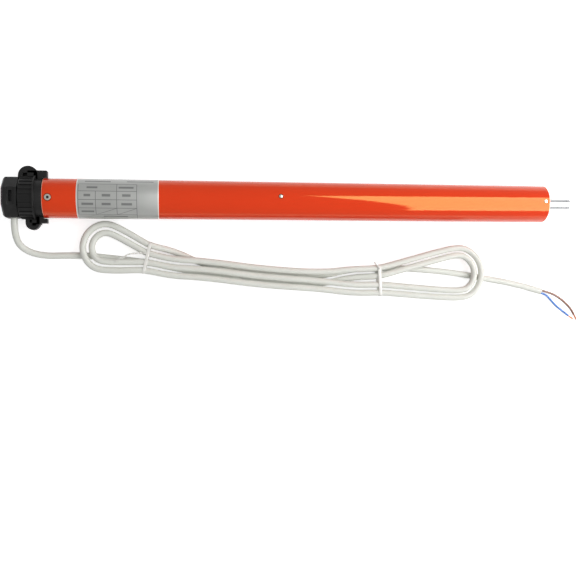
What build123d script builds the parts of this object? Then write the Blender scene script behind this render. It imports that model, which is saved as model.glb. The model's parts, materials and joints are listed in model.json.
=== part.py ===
from build123d import *
import os
from math import acos, atan, cos, degrees, dist, pi, radians, sin, sqrt, tan

os.makedirs("parts", exist_ok=True)

# Tubular awning motor, in millimetres. The motor's axis is level along X: the head with its
# crown is at -X and the output shaft at +X. +Z is up, and the crown's flange rests on z = 0.

# Lengths along the axis, from the head's end face to the shaft's tip
block_length = 13.0
crown_gap = 0.4
barrel_length = 12.3
flange_thickness = 1.4
skirt_length = 6.0
tube_length = 464.0
shaft_reach = 27.5

# Radii that the outside shows
tube_r = 17.5
tube_wall = 1.2
tube_rim = 0.4
block_r = 17.5
barrel_r = 18.0
flange_r = 20.0
skirt_r = 16.8
shaft_r = 5.0
journal_r = 6.0

# Clearances
running = 0.05
slide_gap = 0.15
seat_gap = 0.05
face_gap = 0.3
cut_over = 1.0

# Stations along the axis
crown_length = barrel_length + flange_thickness + skirt_length
overall_length = block_length + crown_length + 2 * crown_gap + tube_length + shaft_reach
axis_z = flange_r
x_head = -overall_length / 2
x_block_end = x_head + block_length
x_crown = x_block_end + crown_gap
x_flange = x_crown + barrel_length
x_skirt = x_flange + flange_thickness
x_crown_end = x_skirt + skirt_length
x_tube = x_crown_end + crown_gap
x_tube_end = x_tube + tube_length
x_tip = x_tube_end + shaft_reach
inner_r = tube_r - tube_wall
block_corner_r = block_r / cos(radians(22.5))
fill_r = inner_r - seat_gap

# Head, neck and plug
block_chamfer = 1.8
neck_r = 9.5
neck_seat = 4.0
wire_bore_r = 2.6
window_length = 5.6
window_width = 16.0
window_depth = 0.5
slot_length = 2.8
slot_width = 9.5
slot_depth = 3.5
x_window = x_head + 8.0
collar_length = 5.0
plug_length = 16.0
x_collar = x_tube - collar_length
x_plug_end = x_tube + plug_length

# Cable and its grip in the head
cable_r = 3.0
gland_r = 3.9
gland_length = 7.0
cable_from_edge = 5.0
x_cable = x_block_end - cable_from_edge

# Screws and pins
head_screw_r = 1.5
head_screw_head_r = 2.6
head_screw_head_height = 2.2
head_screw_at = (5.5, 4.95)
head_screw_end_gap = 1.0
cross_length = 3.0
cross_width = 0.7
cross_depth = 1.2
tube_screw_r = 1.25
tube_screw_head_r = 2.7
tube_screw_head_height = 2.0
tube_screw_length = 6.0
tube_screw_inset = 5.3
tube_screw_angles = (93.0, 213.0, 333.0)
tube_screw_socket_r = 1.1
tube_screw_socket_depth = 1.2
pin_r = 1.1
pin_head_r = 1.6
pin_proud = 0.35
pin_length = 3.4
pin_taper = 20
motor_pin_angle = 82.0
motor_pin_inset = 6.4
gearbox_pin_angle = 87.0
gearbox_pin_inset = 4.3
x_tube_screw = x_tube + tube_screw_inset

# Crown: ribs, ears and tabs
rib_count = 26
rib_height = 0.7
rib_width = 1.5
rib_end_gap = 0.9
crown_web = 4.0
crown_bore_r = 15.3
ear_reach = 28.0
ear_radii = {1: 8.5, -1: 6.1}
ear_from_crown = {1: 6.8, -1: 10.7}
ear_thickness = 7.0
ear_wall = 4.0
ear_pocket_depth = 1.6
ear_pocket_width = 2.6
ear_pocket_out = 20.3
tab_inner = 18.1
tab_reach = 24.0
tab_length = 9.2
step_reaches = (24.6, 23.3, 22.0)
step_lengths = (3.6, 4.0, 5.4)

# Gear teeth, the same size in the limit drive and in the gearbox
gear_module = 0.5
pressure_angle = radians(20)
tooth_tip = 0.8 * gear_module
tooth_root = 1.1 * gear_module
tooth_play = 0.06
ring_teeth = 54

# Limit drive and limit switches
limit_pinion_teeth = 12
limit_spindle_teeth = 20
ring_gear_width = 6.0
limit_gear_width = 4.0
limit_shaft_r = 1.5
plate_thickness = 3.0
spindle_side = 6.2
spindle_thread_r = 2.0
spindle_journal_r = 1.25
adjuster_side = 3.5
adjuster_down = 6.06
adjuster_r = 1.5
adjuster_thread_r = 1.75
socket_r = 0.9
socket_depth = 5.0
unit_length = 88.0
wall_half = 1.0
wall_top = 6.4
rail_top = -13.5
nut_length = 8.0
nut_outer_side = 10.6
nut_bottom = 1.6
nut_top = 9.4
nut_corner_r = 1.0
switch_length = 13.0
switch_outer_side = 8.6
switch_bottom = -10.6
switch_top = -0.6
lever_top = 0.9
lever_thickness = 0.5
lever_width = 3.0
lever_inset = 1.0
lever_length = 10.0
button_size = 1.4
switch_offset = 20.0
wire_r = 1.0
wire_pitch = 2.2
wire_side = 12.4
wire_down = 3.0
wire_bend = 2.4
ring_from_web = 2.0
x_ring = x_crown + crown_web + ring_from_web
x_unit_end = x_plug_end + unit_length
x_limit_gears = x_plug_end + plate_thickness + face_gap

# Gearbox: three planetary stages in one toothed housing
stage_count = 3
sun_teeth = (12, 18, 18)
planet_teeth = (21, 18, 18)
stage_widths = (14.0, 20.0, 28.0)
stage_start = (180 / ring_teeth, 0.0, 0.0)
planet_count = 3
front_plate = 3.0
stage_gap = 0.4
carrier_thickness = 3.0
carrier_r = 12.4
planet_pin_r = 1.5
sun_bore_r = 1.5
bearing_length = 24.0
bearing_nose = 1.0
bearing_hole_r = 1.5
bearing_hole_out = 11.0
bearing_hole_count = 3
bearing_hole_start = 30
tip_chamfer = 0.5
groove_from_tip = 4.8
groove_width = 1.1
groove_depth = 0.4

# Brake
brake_travel = 0.4
brake_body_length = 16.0
brake_bore_r = 3.4
coil_inner_r = 7.0
coil_outer_r = 12.6
coil_length = 8.0
brake_plate_thickness = 2.4
brake_plate_bore_r = 4.0
brake_disc_r = 12.4
brake_disc_thickness = 4.0
brake_pin_r = 1.2
brake_pin_out = 14.4
brake_pin_count = 3
spring_wire_r = 0.4
spring_r = 5.2
spring_turns = 6

# Motor
end_bell_length = 14.0
can_wall = 1.7
can_end = 3.0
bush_r = 5.0
bush_length = 7.0
bush_wall = 1.5
rotor_r = 2.5
rotor_core_r = 10.8
core_length = 78.0
core_slots = 5
core_slot_r = 2.5
core_slot_out = 7.1
core_mouth = 1.6
core_from_commutator = 2.0
commutator_from_can = 3.0
commutator_cut = (1.6, 0.5)
air_gap = 0.5
magnet_from_core_end = 2.0
magnet_angle = 130.0
winding_overhang = 7.0
windings_to_bush = 9.0
winding_inner_r = 3.2
winding_outer_r = 9.7
commutator_r = 4.6
commutator_length = 11.0
brush_width = 5.0
brush_depth = 6.0
brush_length = 7.0
guide_wall = 1.5
guide_tip_gap = 1.0
board_r = 15.0
board_thickness = 1.6
board_standoff = 5.0
board_post_r = 1.6
board_post_out = 12.0
board_post_count = 3
board_post_start = 30
choke_r = 2.6
choke_at = (-3.0, 7.5)
capacitor_at = (6.5, 0.0)
capacitor_size = (4.6, 9.0)
capacitor_corner_r = 1.0
board_part_height = 9.0

# Cable as it lies: free stretches, and the hank with its passes, end loops and two layers
cable_lay = 3.0
tie_thickness = 0.5
tie_gap = 0.1
hank_lower = cable_r + tie_thickness + tie_gap
hank_layer = 2 * cable_r + 0.5
hank_low_x = 45.0
hank_low_y = -73.5
hank_bow = 0.00063
strand_pitch = 7.6
hank_start = (-204.0, -49.6)
left_loops_x = -176.0
left_loop_radii = (13.6, 21.6)
right_loops_x = 152.4
right_loop_radii = (17.8, 25.0)
left_stations = (-141.0, -116.0, -90.0)
right_stations = (20.0, 50.0, 76.0)
hank_exit_knots = ((104.0, -61.2, 0.0), (148.0, -65.0, -10.0), (184.0, -71.3, -9.5))
end_straight = 2 * cable_r
gap_samples = 1100
cord_bend_share = 0.45

lead_route = [
    (x_cable, -block_r, axis_z),
    (x_cable, -24.5, axis_z),
    (-254.3, -33.5, 15.8),
    (-252.0, -41.5, 9.0),
    (-243.0, -47.5, 4.4),
    (-229.5, -50.0, 3.1),
    (-216.5, hank_start[1], hank_lower),
    (*hank_start, hank_lower),
]
tail_first_run = 12.0
tail_points = [(214.0, -76.9, 3.1), (228.0, -80.2, cable_lay), (242.0, -84.3, cable_lay)]

# Cores at the cable's bare end, and the ties round the hank
core_r = 1.0
core_spread = 1.3
core_first_run = 6.0
core_points = {
    "brown": [(256.0, -87.0, 1.8), (263.5, -91.2, 1.0), (270.0, -96.6, 1.0), (275.2, -102.0, 1.0),
              (278.2, -107.6, 1.0)],
    "blue": [(252.3, -91.8, 1.8), (258.2, -97.8, 1.0), (264.6, -103.0, 1.0), (272.2, -108.4, 1.0)],
}
copper_r = 0.55
copper_length = 6.5
tie_width = 3.0
tie_twist_r = 0.9
tie_twists = {
    -141.0: [(-141.5, -48.0, 14.1), (-150.5, -47.2, 14.6), (-160.0, -49.6, 14.5), (-168.5, -55.0, 14.3)],
    76.0: [(75.6, -61.8, 14.1), (72.4, -58.6, 14.5), (70.4, -55.4, 13.4)],
}

# Rating label
label_length = 70.5
label_from_tube = 29.0
label_thickness = 0.12
label_glue = 0.02
label_angle = 300.0

# Stations of the drive, counted back from the tube's output end
x_bearing = x_tube_end - bearing_length
gearbox_inside = sum(stage_widths) + stage_count * carrier_thickness + 2 * stage_count * stage_gap
x_gearbox = x_bearing - bearing_nose - gearbox_inside - front_plate
x_brake_disc = x_gearbox - face_gap - brake_disc_thickness
x_brake_plate = x_brake_disc - face_gap - brake_plate_thickness
x_brake = x_brake_plate - brake_travel - seat_gap - brake_body_length
commutator_space = commutator_from_can + commutator_length + core_from_commutator
rotor_space = winding_overhang + core_length + winding_overhang + windings_to_bush
motor_length = end_bell_length + commutator_space + rotor_space + bush_length
x_motor = x_brake - motor_length
x_can = x_motor + end_bell_length
x_board = x_motor - board_standoff - board_thickness
x_commutator = x_can + commutator_from_can
x_core = x_commutator + commutator_length + winding_overhang + core_from_commutator
x_core_end = x_core + core_length
pin_places = (
    (x_motor + motor_pin_inset, motor_pin_angle),
    (x_tube_end - gearbox_pin_inset, gearbox_pin_angle),
)


def across(x, angle=0.0, out=0.0):
    """Plane square to the motor's axis, turned by an angle, with its origin out from the axis."""
    turn = radians(angle)
    return Plane(
        origin=(x, out * cos(turn), axis_z + out * sin(turn)),
        x_dir=(0, cos(turn), sin(turn)),
        z_dir=(1, 0, 0),
    )


def outward(x, angle, out):
    """Plane that faces away from the motor's axis, at a distance out from it."""
    turn = radians(angle)
    return Plane(
        origin=(x, out * cos(turn), axis_z + out * sin(turn)),
        x_dir=(1, 0, 0),
        z_dir=(0, cos(turn), sin(turn)),
    )


def limit_plane(x, at=(0.0, 0.0)):
    """Plane of the limit unit, whose drive pinion is on the motor's underside."""
    return Plane(origin=(x, -at[0], axis_z - at[1]), x_dir=(0, -1, 0), z_dir=(1, 0, 0))


def pitch_radius(teeth):
    return gear_module * teeth / 2


def tooth_half_angle(radius, teeth, play):
    base_r = pitch_radius(teeth) * cos(pressure_angle)
    flank = acos(base_r / max(radius, base_r))
    involute = tan(pressure_angle) - pressure_angle - tan(flank) + flank
    return pi / (2 * teeth) - play / (2 * pitch_radius(teeth)) + involute


def gear_outline(teeth, tip=tooth_tip, root=tooth_root, play=tooth_play, first_tooth=0.0):
    """Points of a spur gear's outline, with short flats along each involute flank."""
    pitch_r = pitch_radius(teeth)
    radii = (pitch_r - root, pitch_r - root / 2, pitch_r, pitch_r + tip)
    points = []
    for tooth in range(teeth):
        middle = radians(first_tooth) + 2 * pi * tooth / teeth
        for radius in radii:
            angle = middle - tooth_half_angle(radius, teeth, play)
            points.append((radius * cos(angle), radius * sin(angle)))
        for radius in reversed(radii):
            angle = middle + tooth_half_angle(radius, teeth, play)
            points.append((radius * cos(angle), radius * sin(angle)))
    return points


def ring_outline(teeth, first_tooth):
    """Outline of the space inside an internal gear: a gear with wide teeth and deep tips."""
    half_step = 180 / teeth
    return gear_outline(teeth, tooth_root, tooth_tip, -tooth_play, first_tooth + half_step)


spindle_drop = sqrt(
    (pitch_radius(limit_pinion_teeth) + pitch_radius(limit_spindle_teeth)) ** 2 - spindle_side**2
)
pinion_out = pitch_radius(ring_teeth) - pitch_radius(limit_pinion_teeth)
spindle_up = pinion_out - spindle_drop
pinion_at = (0.0, pinion_out)
spindle_at = (spindle_side, spindle_up)
adjuster_at = (adjuster_side, -adjuster_down)
wire_at = (wire_side, -wire_down)
sides = {"up": -1, "down": 1}


def mirrored(at):
    """The same place on both sides of the limit unit."""
    return [(side * at[0], at[1]) for side in sides.values()]


# Motor tube
with BuildPart() as motor_tube:
    with BuildSketch(across(x_tube)):
        Circle(tube_r)
        Circle(inner_r, mode=Mode.SUBTRACT)
    extrude(amount=tube_length)
    chamfer(motor_tube.faces().sort_by(Axis.X)[-1].edges().sort_by(Edge.length)[-1], tube_rim)
    for angle in tube_screw_angles:
        with BuildSketch(outward(x_tube_screw, angle, tube_r / 2)):
            Circle(tube_screw_head_r + seat_gap)
        extrude(amount=tube_r, mode=Mode.SUBTRACT)
    for x, angle in pin_places:
        with BuildSketch(outward(x, angle, tube_r / 2)):
            Circle(pin_r)
        extrude(amount=tube_r, mode=Mode.SUBTRACT)
motor_tube.part.label = "motor_tube"
export_step(motor_tube.part, "parts/motor_tube.step")

# Rating label, a bare foil wrapped round most of the tube, open underneath
with BuildPart() as rating_label:
    with BuildSketch(across(x_tube + label_from_tube)):
        with BuildLine():
            label_r = tube_r + label_glue
            label_start = 90 - label_angle / 2
            outer_arc = CenterArc((0, 0), label_r + label_thickness, label_start, label_angle)
            inner_arc = CenterArc((0, 0), label_r, label_start, label_angle)
            Line(outer_arc @ 0, inner_arc @ 0)
            Line(outer_arc @ 1, inner_arc @ 1)
        make_face()
    extrude(amount=label_length)
rating_label.part.label = "rating_label"
export_step(rating_label.part, "parts/rating_label.step")

# Head block with the neck that the crown turns on
with BuildPart() as head_block:
    with BuildSketch(across(x_head)):
        RegularPolygon(block_r, 8, major_radius=False, rotation=22.5)
    extrude(amount=block_length)
    chamfer(head_block.faces().sort_by(Axis.X)[0].edges(), block_chamfer)
    with BuildSketch(across(x_block_end)):
        Circle(neck_r)
    extrude(amount=x_collar + neck_seat - x_block_end)
    with BuildSketch(limit_plane(x_head)):
        with Locations(*mirrored(adjuster_at)):
            Circle(adjuster_r + running)
        with Locations(*mirrored(head_screw_at)):
            Circle(head_screw_r)
    extrude(amount=overall_length / 2, mode=Mode.SUBTRACT)
    with BuildSketch(limit_plane(x_head)):
        with Locations(*mirrored(head_screw_at)):
            Circle(head_screw_head_r + seat_gap)
    extrude(amount=head_screw_head_height + face_gap, mode=Mode.SUBTRACT)
    with BuildSketch(across(x_cable)):
        Circle(wire_bore_r)
    extrude(amount=overall_length / 2, mode=Mode.SUBTRACT)
    with BuildSketch(outward(x_cable, 180.0, 0.0)):
        Circle(wire_bore_r)
    extrude(amount=block_r + cut_over, mode=Mode.SUBTRACT)
    with BuildSketch(outward(x_cable, 180.0, block_r - gland_length)):
        Circle(gland_r)
    extrude(amount=gland_length + cut_over, mode=Mode.SUBTRACT)
    with BuildSketch(limit_plane(x_ring - face_gap)):
        with Locations(pinion_at):
            Circle(pitch_radius(limit_pinion_teeth) + tooth_tip + face_gap)
    extrude(amount=ring_gear_width + 2 * face_gap, mode=Mode.SUBTRACT)
    with BuildSketch(limit_plane(x_ring)):
        with Locations(pinion_at):
            Circle(limit_shaft_r + face_gap)
    extrude(amount=overall_length / 2, mode=Mode.SUBTRACT)
    with BuildSketch(outward(x_window, 90.0, block_r)):
        Rectangle(window_length, window_width)
    extrude(amount=-window_depth, mode=Mode.SUBTRACT)
    with BuildSketch(outward(x_window, 90.0, block_r)):
        Rectangle(slot_length, slot_width)
    extrude(amount=-slot_depth, mode=Mode.SUBTRACT)
head_block.part.label = "head_block"
export_step(head_block.part, "parts/head_block.step")

# Head plug: a collar that centres the crown, and a disc that fills the tube's end
with BuildPart() as head_plug:
    with BuildSketch(across(x_collar)):
        Circle(crown_bore_r - running)
    extrude(amount=collar_length)
    with BuildSketch(across(x_tube)):
        Circle(fill_r)
    extrude(amount=plug_length)
    with BuildSketch(across(x_collar)):
        Circle(neck_r + seat_gap)
    extrude(amount=neck_seat, mode=Mode.SUBTRACT)
    with BuildSketch(limit_plane(x_collar)):
        with Locations(*mirrored(adjuster_at)):
            Circle(adjuster_r + running)
        with Locations(*mirrored(head_screw_at)):
            Circle(head_screw_r)
        with Locations(pinion_at):
            Circle(limit_shaft_r + running)
        Circle(wire_bore_r)
    extrude(amount=overall_length / 2, mode=Mode.SUBTRACT)
    with BuildSketch(limit_plane(x_plug_end)):
        channel_run = dist((0, 0), wire_at)
        with Locations((wire_side / 2, -wire_down / 2)):
            SlotCenterToCenter(
                channel_run, 2 * wire_bore_r, rotation=-degrees(acos(wire_side / channel_run))
            )
    extrude(amount=-2 * wire_bore_r, mode=Mode.SUBTRACT)
    for angle in tube_screw_angles:
        with BuildSketch(outward(x_tube_screw, angle, tube_r - tube_screw_head_height)):
            Circle(tube_screw_head_r + seat_gap)
        extrude(amount=tube_r, mode=Mode.SUBTRACT)
        with BuildSketch(outward(x_tube_screw, angle, tube_r - tube_screw_length)):
            Circle(tube_screw_r)
        extrude(amount=tube_r, mode=Mode.SUBTRACT)
head_plug.part.label = "head_plug"
export_step(head_plug.part, "parts/head_plug.step")

# Two long screws that clamp the plug to the head block
with BuildPart() as head_screws:
    with BuildSketch(limit_plane(x_head + face_gap)):
        with Locations(*mirrored(head_screw_at)):
            Circle(head_screw_head_r)
    extrude(amount=head_screw_head_height)
    with BuildSketch(limit_plane(x_head + face_gap)):
        with Locations(*mirrored(head_screw_at)):
            Circle(head_screw_r)
    extrude(amount=x_plug_end - x_head - face_gap - head_screw_end_gap)
    with BuildSketch(limit_plane(x_head + face_gap)):
        with Locations(*mirrored(head_screw_at)):
            Rectangle(cross_length, cross_width)
            Rectangle(cross_width, cross_length)
    extrude(amount=cross_depth, mode=Mode.SUBTRACT)
head_screws.part.label = "head_screws"
export_step(head_screws.part, "parts/head_screws.step")

# Screws that fix the tube to the plug
with BuildPart() as tube_screws:
    for angle in tube_screw_angles:
        with BuildSketch(outward(x_tube_screw, angle, tube_r - tube_screw_length)):
            Circle(tube_screw_r)
        extrude(amount=tube_screw_length)
        with BuildSketch(outward(x_tube_screw, angle, tube_r - tube_screw_head_height)):
            Circle(tube_screw_head_r)
        extrude(amount=tube_screw_head_height + pin_proud)
        with BuildSketch(outward(x_tube_screw, angle, tube_r + pin_proud)):
            RegularPolygon(tube_screw_socket_r, 6)
        extrude(amount=-tube_screw_socket_depth, mode=Mode.SUBTRACT)
tube_screws.part.label = "tube_screws"
export_step(tube_screws.part, "parts/tube_screws.step")

# Pins that hold the motor and the gearbox in the tube
with BuildPart() as tube_pins:
    for x, angle in pin_places:
        with BuildSketch(outward(x, angle, tube_r - pin_length)):
            Circle(pin_r)
        extrude(amount=pin_length)
        with BuildSketch(outward(x, angle, tube_r)):
            Circle(pin_head_r)
        extrude(amount=pin_proud, taper=pin_taper)
tube_pins.part.label = "tube_pins"
export_step(tube_pins.part, "parts/tube_pins.step")

# Grip moulded round the cable where it leaves the head
with BuildPart() as cable_gland:
    with BuildSketch(outward(x_cable, 180.0, block_r - gland_length)):
        Circle(gland_r)
    extrude(amount=gland_length)
cable_gland.part.label = "cable_gland"
export_step(cable_gland.part, "parts/cable_gland.step")

# Crown: ribbed barrel with two ears, a flange, a skirt and two tabs over the tube
with BuildPart() as crown_adapter:
    with BuildSketch(across(x_crown)):
        Circle(barrel_r)
    extrude(amount=barrel_length)
    with BuildSketch(across(x_crown + rib_end_gap)):
        with PolarLocations(barrel_r, rib_count):
            Rectangle(2 * rib_height, rib_width)
    extrude(amount=barrel_length - rib_end_gap)
    with BuildSketch(across(x_flange)):
        Circle(flange_r)
    extrude(amount=flange_thickness)
    with BuildSketch(across(x_skirt)):
        Circle(skirt_r)
    extrude(amount=skirt_length)
    with BuildSketch(Plane.XY.offset(axis_z)):
        for side, ear_r in ear_radii.items():
            x_ear = x_crown + ear_from_crown[side]
            with Locations((x_ear, side * (ear_reach - ear_r))):
                Circle(ear_r)
            with Locations((x_ear, side * (ear_reach - ear_r) / 2)):
                Rectangle(2 * ear_r, ear_reach - ear_r)
        with Locations((x_skirt, (tab_reach + tab_inner) / 2)):
            Rectangle(2 * tab_length, tab_reach - tab_inner)
        step_start = x_skirt - step_lengths[0]
        for reach, length in zip(step_reaches, step_lengths):
            with Locations((step_start + length / 2, -(reach + tab_inner) / 2)):
                Rectangle(length, reach - tab_inner)
            step_start += length
    extrude(amount=ear_thickness / 2, both=True)
    with BuildSketch(Plane.XY.offset(axis_z + ear_thickness / 2)):
        for side, ear_r in ear_radii.items():
            with Locations((x_crown + ear_from_crown[side], side * ear_pocket_out)):
                Rectangle(2 * (ear_r - ear_wall), ear_pocket_width)
    extrude(amount=-ear_pocket_depth, mode=Mode.SUBTRACT)
    with BuildSketch(across(x_crown)):
        Circle(block_corner_r + face_gap)
    extrude(amount=-block_length, mode=Mode.SUBTRACT)
    with BuildSketch(across(x_crown)):
        Circle(neck_r + running)
    extrude(amount=crown_length, mode=Mode.SUBTRACT)
    with BuildSketch(across(x_crown + crown_web)):
        Circle(crown_bore_r)
    extrude(amount=crown_length, mode=Mode.SUBTRACT)
crown_adapter.part.label = "crown_adapter"
export_step(crown_adapter.part, "parts/crown_adapter.step")

# Internal gear pressed into the crown
with BuildPart() as limit_ring:
    with BuildSketch(limit_plane(x_ring)):
        Circle(crown_bore_r)
        with BuildLine():
            Polyline(*ring_outline(ring_teeth, 90.0 + 180 / ring_teeth), close=True)
        make_face(mode=Mode.SUBTRACT)
    extrude(amount=ring_gear_width)
limit_ring.part.label = "limit_ring"
export_step(limit_ring.part, "parts/limit_ring.step")

# Pinion shaft that carries the crown's turns into the limit unit
with BuildPart() as limit_pinion:
    for x, width in ((x_ring, ring_gear_width), (x_limit_gears, limit_gear_width)):
        with BuildSketch(limit_plane(x, pinion_at)):
            with BuildLine():
                Polyline(*gear_outline(limit_pinion_teeth, first_tooth=90.0), close=True)
            make_face()
        extrude(amount=width)
    with BuildSketch(limit_plane(x_ring, pinion_at)):
        Circle(limit_shaft_r)
    extrude(amount=x_limit_gears + limit_gear_width - x_ring)
limit_pinion.part.label = "limit_pinion"
export_step(limit_pinion.part, "parts/limit_pinion.step")

# Frame of the limit unit: two plates joined by a centre wall on a bottom rail
with BuildPart() as limit_frame:
    for x in (x_plug_end, x_unit_end - plate_thickness):
        with BuildSketch(limit_plane(x)):
            Circle(fill_r)
        extrude(amount=plate_thickness)
    with BuildSketch(limit_plane(x_plug_end)):
        Circle(fill_r)
        with Locations((0, (fill_r + rail_top) / 2)):
            Rectangle(2 * fill_r, fill_r - rail_top, mode=Mode.SUBTRACT)
    extrude(amount=unit_length)
    with BuildSketch(limit_plane(x_limit_gears + limit_gear_width + face_gap)):
        with Locations((0, (wall_top + rail_top) / 2)):
            Rectangle(2 * wall_half, wall_top - rail_top)
    extrude(amount=x_unit_end - x_limit_gears - limit_gear_width - face_gap)
    with BuildSketch(limit_plane(x_plug_end)):
        with Locations(pinion_at):
            Circle(limit_shaft_r + running)
        with Locations(wire_at):
            Circle(wire_bore_r)
        with Locations(*mirrored(adjuster_at)):
            Circle(adjuster_r + running)
        with Locations(*mirrored(spindle_at)):
            Circle(spindle_journal_r + running)
    extrude(amount=plate_thickness, mode=Mode.SUBTRACT)
    with BuildSketch(limit_plane(x_unit_end - plate_thickness)):
        with Locations(wire_at):
            Circle(wire_bore_r)
        with Locations(*mirrored(adjuster_at)):
            Circle(adjuster_r + running)
        with Locations(*mirrored(spindle_at)):
            Circle(spindle_journal_r + running)
    extrude(amount=plate_thickness, mode=Mode.SUBTRACT)
limit_frame.part.label = "limit_frame"
export_step(limit_frame.part, "parts/limit_frame.step")

# The two halves of the limit unit: spindle, travelling nut, switch slide and adjusting screw
x_thread_end = x_unit_end - plate_thickness - face_gap
x_travel_middle = (x_limit_gears + limit_gear_width + x_thread_end) / 2
pinion_pitch = 360 / limit_pinion_teeth
spindle_pitch = 360 / limit_spindle_teeth
for name, side in sides.items():
    toward_pinion = degrees(acos(-side * spindle_side / (spindle_side**2 + spindle_drop**2) ** 0.5))
    pinion_phase = (toward_pinion + 180 - 90.0) / pinion_pitch % 1
    spindle_tooth = toward_pinion + (0.5 + pinion_phase) * spindle_pitch

    spindle_place = (side * spindle_at[0], spindle_at[1])
    with BuildPart() as limit_spindle:
        with BuildSketch(limit_plane(x_plug_end, spindle_place)):
            Circle(spindle_journal_r)
        extrude(amount=unit_length)
        with BuildSketch(limit_plane(x_limit_gears, spindle_place)):
            with BuildLine():
                Polyline(
                    *gear_outline(limit_spindle_teeth, first_tooth=spindle_tooth), close=True
                )
            make_face()
        extrude(amount=limit_gear_width)
        with BuildSketch(limit_plane(x_limit_gears, spindle_place)):
            Circle(spindle_thread_r)
        extrude(amount=x_thread_end - x_limit_gears)
    limit_spindle.part.label = f"limit_spindle_{name}"
    export_step(limit_spindle.part, f"parts/limit_spindle_{name}.step")

    with BuildPart() as limit_nut:
        with BuildSketch(limit_plane(x_travel_middle - nut_length / 2)):
            nut_inner = wall_half + slide_gap
            with Locations((side * (nut_inner + nut_outer_side) / 2, (nut_bottom + nut_top) / 2)):
                RectangleRounded(nut_outer_side - nut_inner, nut_top - nut_bottom, nut_corner_r)
            with Locations(spindle_place):
                Circle(spindle_thread_r + running, mode=Mode.SUBTRACT)
        extrude(amount=nut_length)
    limit_nut.part.label = f"limit_nut_{name}"
    export_step(limit_nut.part, f"parts/limit_nut_{name}.step")

    x_switch = x_travel_middle + side * switch_offset
    adjuster_place = (side * adjuster_at[0], adjuster_at[1])
    with BuildPart() as limit_switch:
        switch_inner = wall_half + slide_gap
        with BuildSketch(limit_plane(x_switch - switch_length / 2)):
            with Locations(
                (side * (switch_inner + switch_outer_side) / 2, (switch_bottom + switch_top) / 2)
            ):
                Rectangle(switch_outer_side - switch_inner, switch_top - switch_bottom)
            with Locations(adjuster_place):
                Circle(adjuster_thread_r + running, mode=Mode.SUBTRACT)
        extrude(amount=switch_length)
        lever_side = side * (switch_inner + switch_outer_side) / 2
        x_lever = x_switch - switch_length / 2 + lever_inset
        with BuildSketch(limit_plane(x_lever)):
            with Locations((lever_side, (switch_top + lever_top) / 2)):
                Rectangle(lever_width, lever_top - switch_top)
        extrude(amount=lever_thickness)
        with BuildSketch(limit_plane(x_lever)):
            with Locations((lever_side, lever_top - lever_thickness / 2)):
                Rectangle(lever_width, lever_thickness)
        extrude(amount=lever_length)
        with BuildSketch(limit_plane(x_switch)):
            with Locations((lever_side, (switch_top + lever_top - lever_thickness) / 2)):
                Rectangle(button_size, lever_top - lever_thickness - switch_top)
        extrude(amount=button_size)
    limit_switch.part.label = f"limit_switch_{name}"
    export_step(limit_switch.part, f"parts/limit_switch_{name}.step")

    with BuildPart() as adjusting_screw:
        with BuildSketch(limit_plane(x_head + block_chamfer, adjuster_place)):
            Circle(adjuster_r)
        extrude(amount=x_unit_end - x_head - block_chamfer)
        with BuildSketch(limit_plane(x_plug_end + plate_thickness + face_gap, adjuster_place)):
            Circle(adjuster_thread_r)
        extrude(amount=x_thread_end - x_plug_end - plate_thickness - face_gap)
        with BuildSketch(limit_plane(x_head + block_chamfer, adjuster_place)):
            RegularPolygon(socket_r, 6, major_radius=False)
        extrude(amount=socket_depth, mode=Mode.SUBTRACT)
    adjusting_screw.part.label = f"adjusting_screw_{name}"
    export_step(adjusting_screw.part, f"parts/adjusting_screw_{name}.step")

# Two wires from the cable's grip through the neck and past the limit unit to the board
with BuildPart() as inner_wires:
    for lift in (-wire_pitch / 2, wire_pitch / 2):
        x_turn = x_plug_end - wire_bore_r
        wire_z = axis_z + lift
        wire_route = [
            (x_cable, gland_length - block_r, wire_z),
            (x_cable, 0.0, wire_z),
            (x_turn, 0.0, wire_z),
            (x_turn, -wire_side, wire_z + wire_down),
            (x_board, -wire_side, wire_z + wire_down),
        ]
        with BuildLine() as wire_line:
            FilletPolyline(*wire_route, radius=wire_bend)
        with BuildSketch(Plane(origin=wire_line.wire() @ 0, z_dir=wire_line.wire() % 0)):
            Circle(wire_r)
        sweep(path=wire_line.wire())
inner_wires.part.label = "inner_wires"
export_step(inner_wires.part, "parts/inner_wires.step")

# Motor can, open towards the end bell
with BuildPart() as motor_can:
    with BuildSketch(across(x_can)):
        Circle(fill_r)
    extrude(amount=x_brake - x_can)
    with BuildSketch(across(x_can)):
        Circle(fill_r - can_wall)
    extrude(amount=x_brake - x_can - can_end, mode=Mode.SUBTRACT)
    with BuildSketch(across(x_brake - bush_length)):
        Circle(bush_r + bush_wall)
    extrude(amount=bush_length)
    with BuildSketch(across(x_brake - bush_length)):
        Circle(bush_r)
    extrude(amount=bush_length, mode=Mode.SUBTRACT)
motor_can.part.label = "motor_can"
export_step(motor_can.part, "parts/motor_can.step")

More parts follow.
